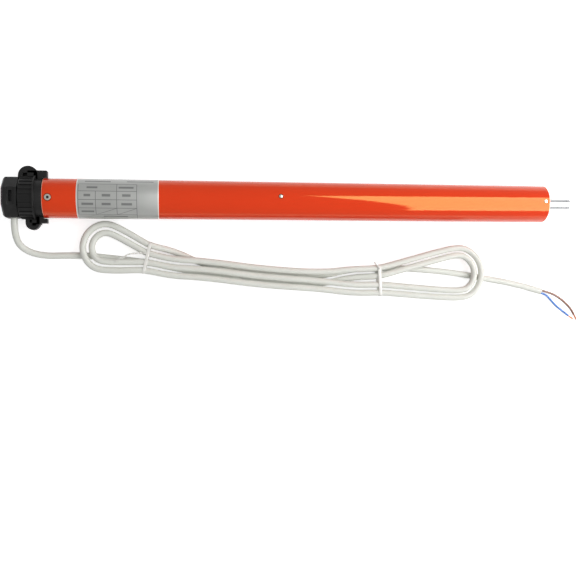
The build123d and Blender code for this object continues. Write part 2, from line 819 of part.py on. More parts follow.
# End bell with the rear bush, the brush guides and the posts of the board
brush_out = commutator_r + 2 * running + brush_length / 2
with BuildPart() as motor_end_bell:
    with BuildSketch(across(x_motor)):
        Circle(fill_r)
        Circle(bush_r, mode=Mode.SUBTRACT)
    extrude(amount=bush_length)
    with BuildSketch(across(x_motor + bush_length)):
        Circle(fill_r)
        Circle(winding_outer_r, mode=Mode.SUBTRACT)
    extrude(amount=end_bell_length - bush_length)
    with BuildSketch(across(x_motor + bush_length)):
        with Locations((brush_out + guide_tip_gap / 2, 0), (-brush_out - guide_tip_gap / 2, 0)):
            Rectangle(brush_length - guide_tip_gap, brush_width + 2 * guide_wall)
    extrude(amount=x_commutator + commutator_length - x_motor - bush_length - guide_tip_gap)
    with BuildSketch(across(x_commutator + (commutator_length - brush_depth) / 2)):
        with Locations((brush_out, 0), (-brush_out, 0)):
            Rectangle(brush_length + 2 * guide_tip_gap, brush_width)
    extrude(amount=brush_depth, mode=Mode.SUBTRACT)
    with BuildSketch(across(x_motor - board_standoff)):
        with PolarLocations(board_post_out, board_post_count, start_angle=board_post_start):
            Circle(board_post_r)
    extrude(amount=board_standoff)
    with BuildSketch(outward(*pin_places[0], tube_r - pin_length)):
        Circle(pin_r)
    extrude(amount=tube_r, mode=Mode.SUBTRACT)
motor_end_bell.part.label = "motor_end_bell"
export_step(motor_end_bell.part, "parts/motor_end_bell.step")

# Carbon brushes in their guides
with BuildPart() as motor_brushes:
    with BuildSketch(across(x_commutator + (commutator_length - brush_depth) / 2)):
        with Locations((brush_out, 0), (-brush_out, 0)):
            Rectangle(brush_length, brush_width)
        Circle(commutator_r + 2 * running, mode=Mode.SUBTRACT)
    extrude(amount=brush_depth)
motor_brushes.part.label = "motor_brushes"
export_step(motor_brushes.part, "parts/motor_brushes.step")

# Front and rear bushes of the rotor
with BuildPart() as motor_bearings:
    for x in (x_motor, x_brake - bush_length):
        with BuildSketch(across(x)):
            Circle(bush_r)
            Circle(rotor_r + running, mode=Mode.SUBTRACT)
        extrude(amount=bush_length)
motor_bearings.part.label = "motor_bearings"
export_step(motor_bearings.part, "parts/motor_bearings.step")

# Two arc magnets on the can's wall
magnet_outer_r = fill_r - can_wall
magnet_inner_r = rotor_core_r + air_gap
far_out = 2 * magnet_outer_r
far_up = far_out * tan(radians(90 - magnet_angle / 2))
with BuildPart() as motor_magnets:
    with BuildSketch(across(x_core + magnet_from_core_end)):
        Circle(magnet_outer_r)
        Circle(magnet_inner_r, mode=Mode.SUBTRACT)
        for side in (-1, 1):
            with BuildLine():
                Polyline((0, 0), (side * far_out, far_up), (side * far_out, -far_up), close=True)
            make_face(mode=Mode.SUBTRACT)
    extrude(amount=core_length - 2 * magnet_from_core_end)
motor_magnets.part.label = "motor_magnets"
export_step(motor_magnets.part, "parts/motor_magnets.step")

# Suppression board on the end bell's posts, with two chokes and a capacitor
with BuildPart() as suppression_board:
    with BuildSketch(across(x_board)):
        Circle(board_r)
    extrude(amount=board_thickness)
suppression_board.part.label = "suppression_board"
export_step(suppression_board.part, "parts/suppression_board.step")

with BuildPart() as suppression_parts:
    with BuildSketch(across(x_board)):
        with Locations(choke_at, (choke_at[0], -choke_at[1])):
            Circle(choke_r)
        with Locations(capacitor_at):
            RectangleRounded(*capacitor_size, capacitor_corner_r)
    extrude(amount=-board_part_height)
suppression_parts.part.label = "suppression_parts"
export_step(suppression_parts.part, "parts/suppression_parts.step")

# Rotor shaft, stepped down where the first sun gear is pressed on
x_planets = x_gearbox + front_plate + stage_gap
with BuildPart() as rotor_shaft:
    with BuildSketch(across(x_motor + face_gap)):
        Circle(rotor_r)
    extrude(amount=x_gearbox - face_gap - x_motor - face_gap)
    with BuildSketch(across(x_gearbox - face_gap)):
        Circle(sun_bore_r)
    extrude(amount=x_planets + stage_widths[0] - x_gearbox + face_gap)
rotor_shaft.part.label = "rotor_shaft"
export_step(rotor_shaft.part, "parts/rotor_shaft.step")

# Laminated rotor core with five winding slots
with BuildPart() as rotor_core:
    with BuildSketch(across(x_core)):
        Circle(rotor_core_r)
        Circle(rotor_r, mode=Mode.SUBTRACT)
        with PolarLocations(core_slot_out, core_slots):
            Circle(core_slot_r, mode=Mode.SUBTRACT)
        with PolarLocations((core_slot_out + rotor_core_r) / 2, core_slots):
            Rectangle(rotor_core_r - core_slot_out + cut_over, core_mouth, mode=Mode.SUBTRACT)
    extrude(amount=core_length)
rotor_core.part.label = "rotor_core"
export_step(rotor_core.part, "parts/rotor_core.step")

# Windings: wire in the slots and the turned ends at both faces of the core
with BuildPart() as rotor_windings:
    with BuildSketch(across(x_core)):
        with PolarLocations(core_slot_out, core_slots):
            Circle(core_slot_r - seat_gap)
    extrude(amount=core_length)
    for x in (x_core - winding_overhang, x_core_end):
        with BuildSketch(across(x)):
            Circle(winding_outer_r)
            Circle(winding_inner_r, mode=Mode.SUBTRACT)
        extrude(amount=winding_overhang)
rotor_windings.part.label = "rotor_windings"
export_step(rotor_windings.part, "parts/rotor_windings.step")

# Commutator with its cut segments
with BuildPart() as commutator:
    with BuildSketch(across(x_commutator)):
        Circle(commutator_r)
        Circle(rotor_r, mode=Mode.SUBTRACT)
        with PolarLocations(commutator_r, core_slots):
            Rectangle(*commutator_cut, mode=Mode.SUBTRACT)
    extrude(amount=commutator_length)
commutator.part.label = "commutator"
export_step(commutator.part, "parts/commutator.step")

# Brake body with its coil pocket and three guide pins
with BuildPart() as brake_body:
    with BuildSketch(across(x_brake)):
        Circle(fill_r)
        Circle(brake_bore_r, mode=Mode.SUBTRACT)
    extrude(amount=brake_body_length)
    with BuildSketch(across(x_brake + brake_body_length - coil_length)):
        Circle(coil_outer_r)
        Circle(coil_inner_r, mode=Mode.SUBTRACT)
    extrude(amount=coil_length, mode=Mode.SUBTRACT)
    with BuildSketch(across(x_brake + brake_body_length - coil_length)):
        Circle(spring_r + 2 * spring_wire_r)
    extrude(amount=coil_length, mode=Mode.SUBTRACT)
    with BuildSketch(across(x_brake + brake_body_length)):
        with PolarLocations(brake_pin_out, brake_pin_count):
            Circle(brake_pin_r)
    extrude(amount=x_gearbox - x_brake - brake_body_length)
brake_body.part.label = "brake_body"
export_step(brake_body.part, "parts/brake_body.step")

with BuildPart() as brake_coil:
    with BuildSketch(across(x_brake + brake_body_length - coil_length)):
        Circle(coil_outer_r - seat_gap)
        Circle(coil_inner_r + seat_gap, mode=Mode.SUBTRACT)
    extrude(amount=coil_length - seat_gap)
brake_coil.part.label = "brake_coil"
export_step(brake_coil.part, "parts/brake_coil.step")

# Spring that pushes the brake plate onto the disc
spring_length = coil_length - 2 * spring_wire_r
spring_start = (x_brake + brake_body_length - coil_length + spring_wire_r, 0.0, axis_z)
with BuildPart() as brake_spring:
    with BuildLine() as spring_line:
        Helix(spring_length / spring_turns, spring_length, spring_r, spring_start, (1, 0, 0))
    with BuildSketch(Plane(origin=spring_line.wire() @ 0, z_dir=spring_line.wire() % 0)):
        Circle(spring_wire_r)
    sweep(path=spring_line.wire(), is_frenet=True)
brake_spring.part.label = "brake_spring"
export_step(brake_spring.part, "parts/brake_spring.step")

# Brake plate that slides on the pins
with BuildPart() as brake_plate:
    with BuildSketch(across(x_brake_plate)):
        Circle(fill_r - face_gap)
        Circle(brake_plate_bore_r, mode=Mode.SUBTRACT)
        with PolarLocations(brake_pin_out, brake_pin_count):
            Circle(brake_pin_r + running, mode=Mode.SUBTRACT)
    extrude(amount=brake_plate_thickness)
brake_plate.part.label = "brake_plate"
export_step(brake_plate.part, "parts/brake_plate.step")

# Friction disc on the rotor shaft
with BuildPart() as brake_disc:
    with BuildSketch(across(x_brake_disc)):
        Circle(brake_disc_r)
        Circle(rotor_r, mode=Mode.SUBTRACT)
    extrude(amount=brake_disc_thickness)
brake_disc.part.label = "brake_disc"
export_step(brake_disc.part, "parts/brake_disc.step")

# Gearbox housing with the internal teeth that all three stages share
with BuildPart() as gearbox_housing:
    with BuildSketch(across(x_gearbox)):
        Circle(fill_r)
        Circle(pitch_radius(sun_teeth[0]) + tooth_tip + face_gap, mode=Mode.SUBTRACT)
    extrude(amount=front_plate)
    with BuildSketch(across(x_gearbox + front_plate)):
        Circle(fill_r)
        with BuildLine():
            Polyline(*ring_outline(ring_teeth, 0.0), close=True)
        make_face(mode=Mode.SUBTRACT)
    extrude(amount=x_bearing - x_gearbox - front_plate)
gearbox_housing.part.label = "gearbox_housing"
export_step(gearbox_housing.part, "parts/gearbox_housing.step")

# First sun gear, on the rotor shaft
sun_start = stage_start[0]
with BuildPart() as sun_gear_1:
    with BuildSketch(across(x_planets)):
        with BuildLine():
            Polyline(*gear_outline(sun_teeth[0], first_tooth=sun_start), close=True)
        make_face()
        Circle(sun_bore_r, mode=Mode.SUBTRACT)
    extrude(amount=stage_widths[0])
sun_gear_1.part.label = "sun_gear_1"
export_step(sun_gear_1.part, "parts/sun_gear_1.step")

# Planet gears of each stage, then its carrier with the next sun gear or the output shaft
for stage in range(stage_count):
    width = stage_widths[stage]
    planet_out = pitch_radius(sun_teeth[stage]) + pitch_radius(planet_teeth[stage])
    gap_at_sun = 180.0 - 180.0 / planet_teeth[stage]
    planet_angles = [stage_start[stage] + 360 * n / planet_count for n in range(planet_count)]
    for letter, angle in zip("abc", planet_angles):
        with BuildPart() as planet:
            with BuildSketch(across(x_planets, angle, planet_out)):
                with BuildLine():
                    Polyline(
                        *gear_outline(planet_teeth[stage], first_tooth=gap_at_sun), close=True
                    )
                make_face()
                Circle(planet_pin_r + running, mode=Mode.SUBTRACT)
            extrude(amount=width)
        planet.part.label = f"planet_{stage + 1}{letter}"
        export_step(planet.part, f"parts/planet_{stage + 1}{letter}.step")

    x_carrier = x_planets + width + stage_gap
    x_next = x_carrier + carrier_thickness + stage_gap
    with BuildPart() as carrier:
        with BuildSketch(across(x_carrier)):
            Circle(carrier_r)
        extrude(amount=carrier_thickness)
        for angle in planet_angles:
            with BuildSketch(across(x_planets, angle, planet_out)):
                Circle(planet_pin_r)
            extrude(amount=x_carrier - x_planets)
        if stage + 1 < stage_count:
            with BuildSketch(across(x_carrier + carrier_thickness)):
                with BuildLine():
                    Polyline(
                        *gear_outline(sun_teeth[stage + 1], first_tooth=stage_start[stage + 1]),
                        close=True,
                    )
                make_face()
            extrude(amount=stage_gap + stage_widths[stage + 1])
        else:
            with BuildSketch(across(x_carrier + carrier_thickness)):
                Circle(journal_r)
            extrude(amount=x_tube_end - x_carrier - carrier_thickness)
            with BuildSketch(across(x_tube_end)):
                Circle(shaft_r)
            extrude(amount=shaft_reach)
            chamfer(carrier.faces().sort_by(Axis.X)[-1].edges(), tip_chamfer)
            with BuildSketch(across(x_tip - groove_from_tip)):
                Circle(shaft_r + cut_over)
                Circle(shaft_r - groove_depth, mode=Mode.SUBTRACT)
            extrude(amount=groove_width, mode=Mode.SUBTRACT)
    carrier_name = f"carrier_{stage + 1}" if stage + 1 < stage_count else "output_shaft"
    carrier.part.label = carrier_name
    export_step(carrier.part, f"parts/{carrier_name}.step")
    x_planets = x_next

# Output bearing that closes the gearbox and the tube
with BuildPart() as output_bearing:
    with BuildSketch(across(x_bearing)):
        Circle(fill_r)
        Circle(journal_r + running, mode=Mode.SUBTRACT)
    extrude(amount=bearing_length)
    with BuildSketch(outward(*pin_places[1], tube_r - pin_length)):
        Circle(pin_r)
    extrude(amount=tube_r, mode=Mode.SUBTRACT)
    with BuildSketch(across(x_bearing)):
        with PolarLocations(bearing_hole_out, bearing_hole_count, bearing_hole_start):
            Circle(bearing_hole_r)
    extrude(amount=bearing_length, mode=Mode.SUBTRACT)
output_bearing.part.label = "output_bearing"
export_step(output_bearing.part, "parts/output_bearing.step")


def bend_radii(route):
    """Radius at each corner of a route, as large as its two runs allow."""
    radii = []
    for before, corner, after in zip(route, route[1:], route[2:]):
        turn = (Vector(corner) - Vector(before)).get_angle(Vector(after) - Vector(corner))
        run = min(dist(before, corner), dist(corner, after))
        radii.append(cord_bend_share * run / tan(radians(turn) / 2))
    return radii


def report_tube(name, tube, line, radius):
    """Print a tube's length and compare its volume with section times length."""
    expected = pi * radius**2 * line.length
    print(f"{name}: length {line.length:.1f}, volume over section x length {tube.volume / expected:.4f}")


# Free stretch of the cable from the head to the hank
with BuildPart() as cable_lead:
    lead_radii = bend_radii(lead_route)
    with BuildLine() as lead_line:
        FilletPolyline(*lead_route, radius=lead_radii)
    with BuildSketch(Plane(origin=lead_line.wire() @ 0, z_dir=lead_line.wire() % 0)):
        Circle(cable_r)
    sweep(path=lead_line.wire())
cable_lead.part.label = "cable_lead"
export_step(cable_lead.part, "parts/cable_lead.step")
print("lead bend radii", [round(radius, 1) for radius in lead_radii])
report_tube("cable_lead", cable_lead.part, lead_line.wire(), cable_r)


def waist_knot(x, side, layer, way):
    """Point and direction of a strand at x: its place across the bundle, its layer and its way."""
    heading = atan(2 * hank_bow * (x - hank_low_x))
    middle = hank_low_y + hank_bow * (x - hank_low_x) ** 2
    point = Vector(
        x - side * sin(heading),
        middle + side * cos(heading),
        hank_lower + (layer - 1) * hank_layer,
    )
    return point, Vector(way * cos(heading), way * sin(heading), 0)


def biarc_middle(start, start_way, end, end_way):
    """Joint of the two tangent arcs that lead from one knot to the next."""
    span = end - start
    along = span.dot(start_way + end_way)
    spread = 2 * (1 - start_way.dot(end_way))
    if spread < 1e-9:
        reach = span.dot(span) / (2 * along)
    else:
        reach = (sqrt(along**2 + spread * span.dot(span)) - along) / spread
    return (start + end + (start_way - end_way) * reach) * 0.5


# The hank's five passes: place across the bundle, in strand pitches, and layer at each station
stations = left_stations + right_stations
passes = (
    ((-0.5, 1), (-0.5, 1), (-0.5, 1), (-0.5, 1), (0.5, 1), (0.5, 2)),
    ((-0.5, 2), (-0.5, 2), (0.0, 2), (0.0, 2), (-0.5, 2), (-0.5, 2)),
    ((0.5, 2), (0.5, 2), (1.0, 2), (1.0, 2), (1.5, 2), (1.5, 2)),
    ((-1.5, 2), (-1.5, 2), (-1.0, 2), (-1.0, 2), (-1.5, 2), (-1.5, 2)),
    ((1.5, 2), (1.5, 1), (0.5, 1), (0.5, 1), (1.5, 1), (1.5, 1)),
)
hank_in = Vector(*hank_start, hank_lower)
hank_knots = [(hank_in, Vector(1, 0, 0)), (hank_in + Vector(end_straight, 0, 0), Vector(1, 0, 0))]
for number, places in enumerate(passes):
    way = 1 if number % 2 == 0 else -1
    knots = [
        waist_knot(x, place * strand_pitch, layer, way)
        for x, (place, layer) in zip(stations, places)
    ]
    hank_knots += knots if way == 1 else knots[::-1]
    if number + 1 < len(passes):
        x_loop = right_loops_x if way == 1 else left_loops_x
        radius = (right_loop_radii if way == 1 else left_loop_radii)[number // 2]
        hank_knots.append(waist_knot(x_loop, way * radius, 2, way))
        hank_knots.append(waist_knot(x_loop, -way * radius, 2, -way))
for x, y, heading in hank_exit_knots:
    exit_way = Vector(cos(radians(heading)), sin(radians(heading)), 0)
    hank_knots.append((Vector(x, y, hank_lower), exit_way))
hank_out = hank_knots[-1][0] + exit_way * end_straight
hank_knots.append((hank_out, exit_way))

with BuildPart() as cable_hank:
    with BuildLine() as hank_line:
        for (start, start_way), (end, end_way) in zip(hank_knots, hank_knots[1:]):
            if start_way.cross(end - start).length < 1e-6 * (end - start).length:
                Line(start, end)
            else:
                joint = biarc_middle(start, start_way, end, end_way)
                first_arc = TangentArc(start, joint, tangent=start_way)
                TangentArc(joint, end, tangent=first_arc % 1)
    with BuildSketch(Plane(origin=hank_line.wire() @ 0, z_dir=hank_line.wire() % 0)):
        Circle(cable_r)
    sweep(path=hank_line.wire())
cable_hank.part.label = "cable_hank"
export_step(cable_hank.part, "parts/cable_hank.step")
hank_length = hank_line.wire().length
samples = [tuple(hank_line.wire() @ (n / gap_samples)) for n in range(gap_samples + 1)]
skip = int(3 * 2 * cable_r / hank_length * gap_samples) + 1
least_gap = min(
    dist(samples[a], samples[b])
    for a in range(gap_samples + 1)
    for b in range(a + skip, gap_samples + 1)
) - 2 * cable_r
print(f"hank: least gap to itself {least_gap:.2f}, tightest arc {min(left_loop_radii)}")
report_tube("cable_hank", cable_hank.part, hank_line.wire(), cable_r)

# Free stretch from the hank to the end of the jacket
tail_route = [tuple(hank_out), tuple(hank_out + exit_way * tail_first_run), *tail_points]
with BuildPart() as cable_tail:
    tail_radii = bend_radii(tail_route)
    with BuildLine() as tail_line:
        FilletPolyline(*tail_route, radius=tail_radii)
    with BuildSketch(Plane(origin=tail_line.wire() @ 0, z_dir=tail_line.wire() % 0)):
        Circle(cable_r)
    sweep(path=tail_line.wire())
cable_tail.part.label = "cable_tail"
export_step(cable_tail.part, "parts/cable_tail.step")
print("tail bend radii", [round(radius, 1) for radius in tail_radii])
report_tube("cable_tail", cable_tail.part, tail_line.wire(), cable_r)

# The two cores beyond the jacket, and their bare copper ends
jacket_end = Vector(tail_line.wire() @ 1)
jacket_way = Vector(tail_line.wire() % 1)
jacket_side = Vector(-jacket_way.Y, jacket_way.X, 0)
core_tips = []
for name, side in (("brown", 1), ("blue", -1)):
    core_start = jacket_end + jacket_side * side * core_spread
    core_route = [
        tuple(core_start),
        tuple(core_start + jacket_way * core_first_run),
        *core_points[name],
    ]
    with BuildPart() as core:
        core_radii = bend_radii(core_route)
        with BuildLine() as core_line:
            FilletPolyline(*core_route, radius=core_radii)
        with BuildSketch(Plane(origin=core_line.wire() @ 0, z_dir=core_line.wire() % 0)):
            Circle(core_r)
        sweep(path=core_line.wire())
    core.part.label = f"core_{name}"
    export_step(core.part, f"parts/core_{name}.step")
    print(f"core_{name} bend radii", [round(radius, 1) for radius in core_radii])
    report_tube(f"core_{name}", core.part, core_line.wire(), core_r)
    core_tips.append(Plane(origin=core_line.wire() @ 1, z_dir=core_line.wire() % 1))

with BuildPart() as core_ends:
    for tip in core_tips:
        with BuildSketch(tip):
            Circle(copper_r)
        extrude(amount=copper_length)
core_ends.part.label = "core_ends"
export_step(core_ends.part, "parts/core_ends.step")

# Two ties drawn round the strands, each with its twisted end
with BuildPart() as cable_ties:
    for x_tie, twist_route in tie_twists.items():
        station = stations.index(x_tie)
        tie_middle, tie_way = waist_knot(x_tie, 0.0, 1, 1)
        tie_plane = Plane(
            origin=(tie_middle.X, tie_middle.Y, 0),
            x_dir=(-tie_way.Y, tie_way.X, 0),
            z_dir=tie_way,
        )
        strands = [
            (place * strand_pitch, hank_lower + (layer - 1) * hank_layer)
            for place, layer in (places[station] for places in passes)
        ]
        for radius, mode in (
            (cable_r + tie_gap + tie_thickness, Mode.ADD),
            (cable_r + tie_gap, Mode.SUBTRACT),
        ):
            with BuildSketch(tie_plane):
                with Locations(*strands):
                    Circle(radius)
                make_hull()
            extrude(amount=tie_width / 2, both=True, mode=mode)
        with BuildLine() as twist_line:
            FilletPolyline(*twist_route, radius=bend_radii(twist_route))
        with BuildSketch(Plane(origin=twist_line.wire() @ 0, z_dir=twist_line.wire() % 0)):
            Circle(tie_twist_r)
        sweep(path=twist_line.wire())
cable_ties.part.label = "cable_ties"
export_step(cable_ties.part, "parts/cable_ties.step")
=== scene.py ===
# %% [markdown]
# # A tubular awning motor
# The real object is a slim orange tube that slides into an awning's roller. A black head with a
# turning crown closes one end, a steel shaft leaves the other, and two metres of white cable
# leave the head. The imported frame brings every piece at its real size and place. This lesson
# dresses it: first the camera and the cable, then the finishes, then the outer pieces one by one.

import json
import math

import bmesh
import bpy
from mathutils import Matrix, Vector


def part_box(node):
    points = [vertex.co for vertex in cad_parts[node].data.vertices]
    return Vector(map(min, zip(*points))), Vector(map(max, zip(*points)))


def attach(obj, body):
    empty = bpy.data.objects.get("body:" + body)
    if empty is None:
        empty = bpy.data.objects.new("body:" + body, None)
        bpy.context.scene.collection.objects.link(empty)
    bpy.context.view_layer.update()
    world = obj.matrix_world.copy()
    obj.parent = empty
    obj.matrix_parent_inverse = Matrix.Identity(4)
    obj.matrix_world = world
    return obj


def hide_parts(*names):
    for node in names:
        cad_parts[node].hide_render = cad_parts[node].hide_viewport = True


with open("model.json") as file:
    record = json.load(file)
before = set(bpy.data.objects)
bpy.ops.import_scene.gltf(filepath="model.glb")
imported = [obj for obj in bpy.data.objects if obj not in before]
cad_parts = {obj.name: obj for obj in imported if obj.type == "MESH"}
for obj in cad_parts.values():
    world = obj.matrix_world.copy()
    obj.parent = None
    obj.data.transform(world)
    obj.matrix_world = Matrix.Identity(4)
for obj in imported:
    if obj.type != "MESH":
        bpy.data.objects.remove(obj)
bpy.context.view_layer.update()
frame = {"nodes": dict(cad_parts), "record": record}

# %% Sizes that the frame gives
MM = 0.001
tube_low, tube_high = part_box("motor_tube")
x_tube, x_tube_end = tube_low.x, tube_high.x
tube_r = (tube_high.z - tube_low.z) / 2
axis_z = (tube_high.z + tube_low.z) / 2
print(f"tube radius {tube_r / MM:.1f} mm, axis {axis_z / MM:.1f} mm above the floor")


def scaled(points):
    """Points given in millimetres, as vectors in metres."""
    return [Vector(point) * MM for point in points]


def added(name, data):
    """A new object in the scene."""
    made = bpy.data.objects.new(name, data)
    bpy.context.scene.collection.objects.link(made)
    return made


# %% [markdown]
# ## Camera
# The picture was taken from almost straight above, a little from the cable's side, with the lens
# over the head's half of the tube. So the tube's far end looks larger and lies a little lower.
# A camera's own axes are right, up and back, so two turns about them give its aim.

# %% Camera
camera_lens = 47.0
camera_place = (-0.1106, -0.0798, 0.7049)
camera_yaw, camera_roll = math.radians(-8.11), math.radians(-0.25)
camera = added("camera", bpy.data.cameras.new("camera"))
camera.data.lens = camera_lens
camera.rotation_euler = (
    Matrix.Rotation(camera_yaw, 3, "Y") @ Matrix.Rotation(camera_roll, 3, "Z")
).to_euler()
camera.location = camera_place
bpy.context.scene.camera = camera
bpy.context.scene.view_settings.view_transform = "Standard"
print("camera at", tuple(round(v, 3) for v in camera.location))

# %% [markdown]
# ## Cable
# The cable is one length of soft white PVC: a free lead, a hank of five passes with open loops at
# both ends, and a tail. It could be a mesh tube, but a NURBS curve is what it is, one line with
# a round section. The lead and the tail are listed points. The hank's passes and loops
# follow its rule: places across a gently bowed bundle, and half turns of six points each.

# %% Cable route
cable_d = 6.0
hank_lower, hank_layer = 3.6, 6.5
bundle_low = (45.0, -73.5)
bundle_bow = 0.00063
strand_pitch = 7.6
lead_route = [
    (-254.5, -17.5, 20.0), (-254.5, -24.5, 20.0), (-254.3, -33.5, 15.8), (-252.0, -41.5, 9.0),
    (-243.0, -47.5, 4.4), (-229.5, -50.0, 3.1), (-216.5, -49.6, 3.6), (-204.0, -49.6, 3.6),
    (-192.0, -49.6, 3.6),
]
stations = (-141.0, -116.0, -90.0, -35.0, 20.0, 50.0, 76.0)
# Each pass has its side in strand widths and its layer at every station.
passes = (
    ((-0.5, 1), (-0.5, 1), (-0.5, 1), (-0.5, 1), (-0.5, 1), (0.5, 1), (0.5, 2)),
    ((-0.5, 2), (-0.5, 2), (0.0, 2), (0.0, 2), (0.0, 2), (-0.5, 2), (-0.5, 2)),
    ((0.5, 2), (0.5, 2), (1.0, 2), (1.0, 2), (1.0, 2), (1.5, 2), (1.5, 2)),
    ((-1.5, 2), (-1.5, 2), (-1.0, 2), (-1.0, 2), (-1.0, 2), (-1.5, 2), (-1.5, 2)),
    ((1.5, 2), (1.5, 1), (0.5, 1), (0.5, 1), (0.5, 1), (1.5, 1), (1.5, 1)),
)
loop_x = {1: 152.4, -1: -176.0}
loop_radii = {1: (17.8, 25.0), -1: (13.6, 21.6)}
loop_points = 6
loop_half_step = 90 / loop_points
exit_route = [
    (104.0, -61.2, 3.6), (148.0, -65.0, 3.6), (184.0, -71.3, 3.6), (201.8, -74.3, 3.3),
    (214.0, -76.9, 3.1), (228.0, -80.2, 3.0), (242.0, -84.3, 3.0),
]


def in_bundle(x, side, layer):
    """A place in the bundle: along it, square to its bowed middle line, and in its layer."""
    heading = math.atan(2 * bundle_bow * (x - bundle_low[0]))
    middle = bundle_low[1] + bundle_bow * (x - bundle_low[0]) ** 2
    z = hank_lower + (layer - 1) * hank_layer
    return Vector((x - side * math.sin(heading), middle + side * math.cos(heading), z))


def end_loop(way, radius, before, after):
    """Points of one end loop: a corner of the fan on each side, and six points of a half turn."""
    centre = in_bundle(loop_x[way], 0.0, 2)
    heading = math.atan(2 * bundle_bow * (centre.x - bundle_low[0]))
    start, end = (in_bundle(loop_x[way], way * side * radius, 2) for side in (1, -1))
    points = [before + (start - before) / 4, start + (before - start) / 4]
    reach = radius / math.cos(math.radians(loop_half_step))
    for number in range(loop_points):
        turn = 90 - loop_half_step * (2 * number + 1)
        angle = heading + math.radians(turn) + (0 if way == 1 else math.pi)
        points.append(centre + Vector((math.cos(angle), math.sin(angle), 0)) * reach)
    return points + [end + (after - end) / 4, after + (end - after) / 4]


def cable_points():
    """Control points of the whole cable, in millimetres."""
    strands = []
    for number, places in enumerate(passes):
        strand = [in_bundle(x, side * strand_pitch, layer) for x, (side, layer) in zip(stations, places)]
        strands.append(strand if number % 2 == 0 else strand[::-1])
    points = [Vector(point) for point in lead_route] + strands[0]
    for number, strand in enumerate(strands[1:]):
        way = 1 if number % 2 == 0 else -1
        radius = loop_radii[way][number // 2]
        points += end_loop(way, radius, points[-1], strand[0]) + strand
    return points + [Vector(point) for point in exit_route]


# %% Cable curve
def nurbs(name, points, radius):
    """A round cord along one smooth open spline whose control points are given in metres."""
    curve = bpy.data.curves.new(name, "CURVE")
    curve.dimensions = "3D"
    spline = curve.splines.new("NURBS")
    spline.points.add(len(points) - 1)
    for control, point in zip(spline.points, points):
        control.co = (*point, 1.0)
    spline.order_u = 3
    spline.use_endpoint_u = True
    curve.resolution_u = 8
    curve.bevel_depth = radius
    curve.bevel_resolution = 6
    curve.use_fill_caps = True
    return added(name, curve)


def follow(points, steps):
    """Points read from the smooth spline of a short route, and the direction at each."""
    line = nurbs("route", points, 0.0)
    line.data.use_fill_caps = False
    line.data.resolution_u = steps
    mesh = bpy.data.meshes.new_from_object(line)
    places = [vertex.co.copy() for vertex in mesh.vertices]
    bpy.data.objects.remove(line)
    ways = [(b - a).normalized() for a, b in zip(places, places[1:])]
    return places, ways + ways[-1:]


def spline_length(points):
    """Length of the smooth spline of a route, in metres."""
    places, _ = follow(points, 16)
    return sum((b - a).length for a, b in zip(places, places[1:]))


cable_route = scaled(cable_points())
cable = nurbs("power_cable", cable_route, cable_d / 2 * MM)
cable_length = spline_length(cable_route)
print(f"cable: {len(cable_route)} points, {cable_length:.3f} m")

# %% [markdown]
# ## Cores
# Beyond the jacket the brown and the blue core part, rise a little and end in bare copper. Each is
# a thin cord of its own that leaves the cut end of the jacket, so each gets its own spline.

# %% Cores
core_d = 2.0
core_spread = 1.3
core_first_run = 6.0
core_routes = {
    "brown": [(256.0, -87.0, 1.8), (263.5, -91.2, 1.0), (270.0, -96.6, 1.0), (275.2, -102.0, 1.0),
              (278.2, -107.6, 1.0)],
    "blue": [(252.3, -91.8, 1.8), (258.2, -97.8, 1.0), (264.6, -103.0, 1.0), (272.2, -108.4, 1.0)],
}
jacket_end = cable_route[-1]
jacket_way = (cable_route[-1] - cable_route[-2]).normalized()
jacket_side = Vector((-jacket_way.y, jacket_way.x, 0)).normalized()
cores = {}
for colour, side in (("brown", 1), ("blue", -1)):
    core_start = jacket_end + jacket_side * side * core_spread * MM
    core_route = [core_start, core_start + jacket_way * core_first_run * MM]
    core_route += scaled(core_routes[colour])
    cores[colour] = (nurbs(f"core_{colour}_wire", core_route, core_d / 2 * MM), core_route)
    print(f"core_{colour}: {spline_length(core_route) / MM:.1f} mm")

# %% [markdown]
# ## Writing finishes as expressions
# A shader is a sum of masks and mixes, and node trees built call by call are hard to read. One
# small class stands for a number in a tree, so that plain Python maths adds the Math nodes, and
# one method adds any other node from its type, its settings and its sockets.


# %% Numbers and nodes
class Number:
    """A number in a node tree. Python's maths on it adds Math nodes."""

    def __init__(self, nodes, socket):
        self.nodes, self.socket = nodes, socket

    def math(self, operation, *values):
        """A Math node on these values."""
        return self.nodes.add("ShaderNodeMath", {"operation": operation}, dict(enumerate(values)))

    def __add__(self, other):
        return self.math("ADD", self, other)

    def __sub__(self, other):
        return self.math("SUBTRACT", self, other)

    def __rsub__(self, other):
        return self.math("SUBTRACT", other, self)

    def __mul__(self, other):
        return self.math("MULTIPLY", self, other)

    def __truediv__(self, other):
        return self.math("DIVIDE", self, other)

    __radd__, __rmul__ = __add__, __mul__

    def either(self, other):
        return self.math("MAXIMUM", self, other)

    def rise(self, low, high):
        """0 below low, 1 above high, and a soft step between."""
        sockets = {"Value": self, "From Min": low, "From Max": high}
        return self.nodes.add("ShaderNodeMapRange", {"interpolation_type": "SMOOTHSTEP"}, sockets)

    def near(self, place, half, soft):
        """1 within half a width of a place, with soft edges."""
        gap = self.math("ABSOLUTE", self - place)
        return 1 - gap.rise(half - soft, half + soft)

    def between(self, low, high, soft):
        """1 from one place to another, with soft edges."""
        return self.near((low + high) / 2, (high - low) / 2, soft)


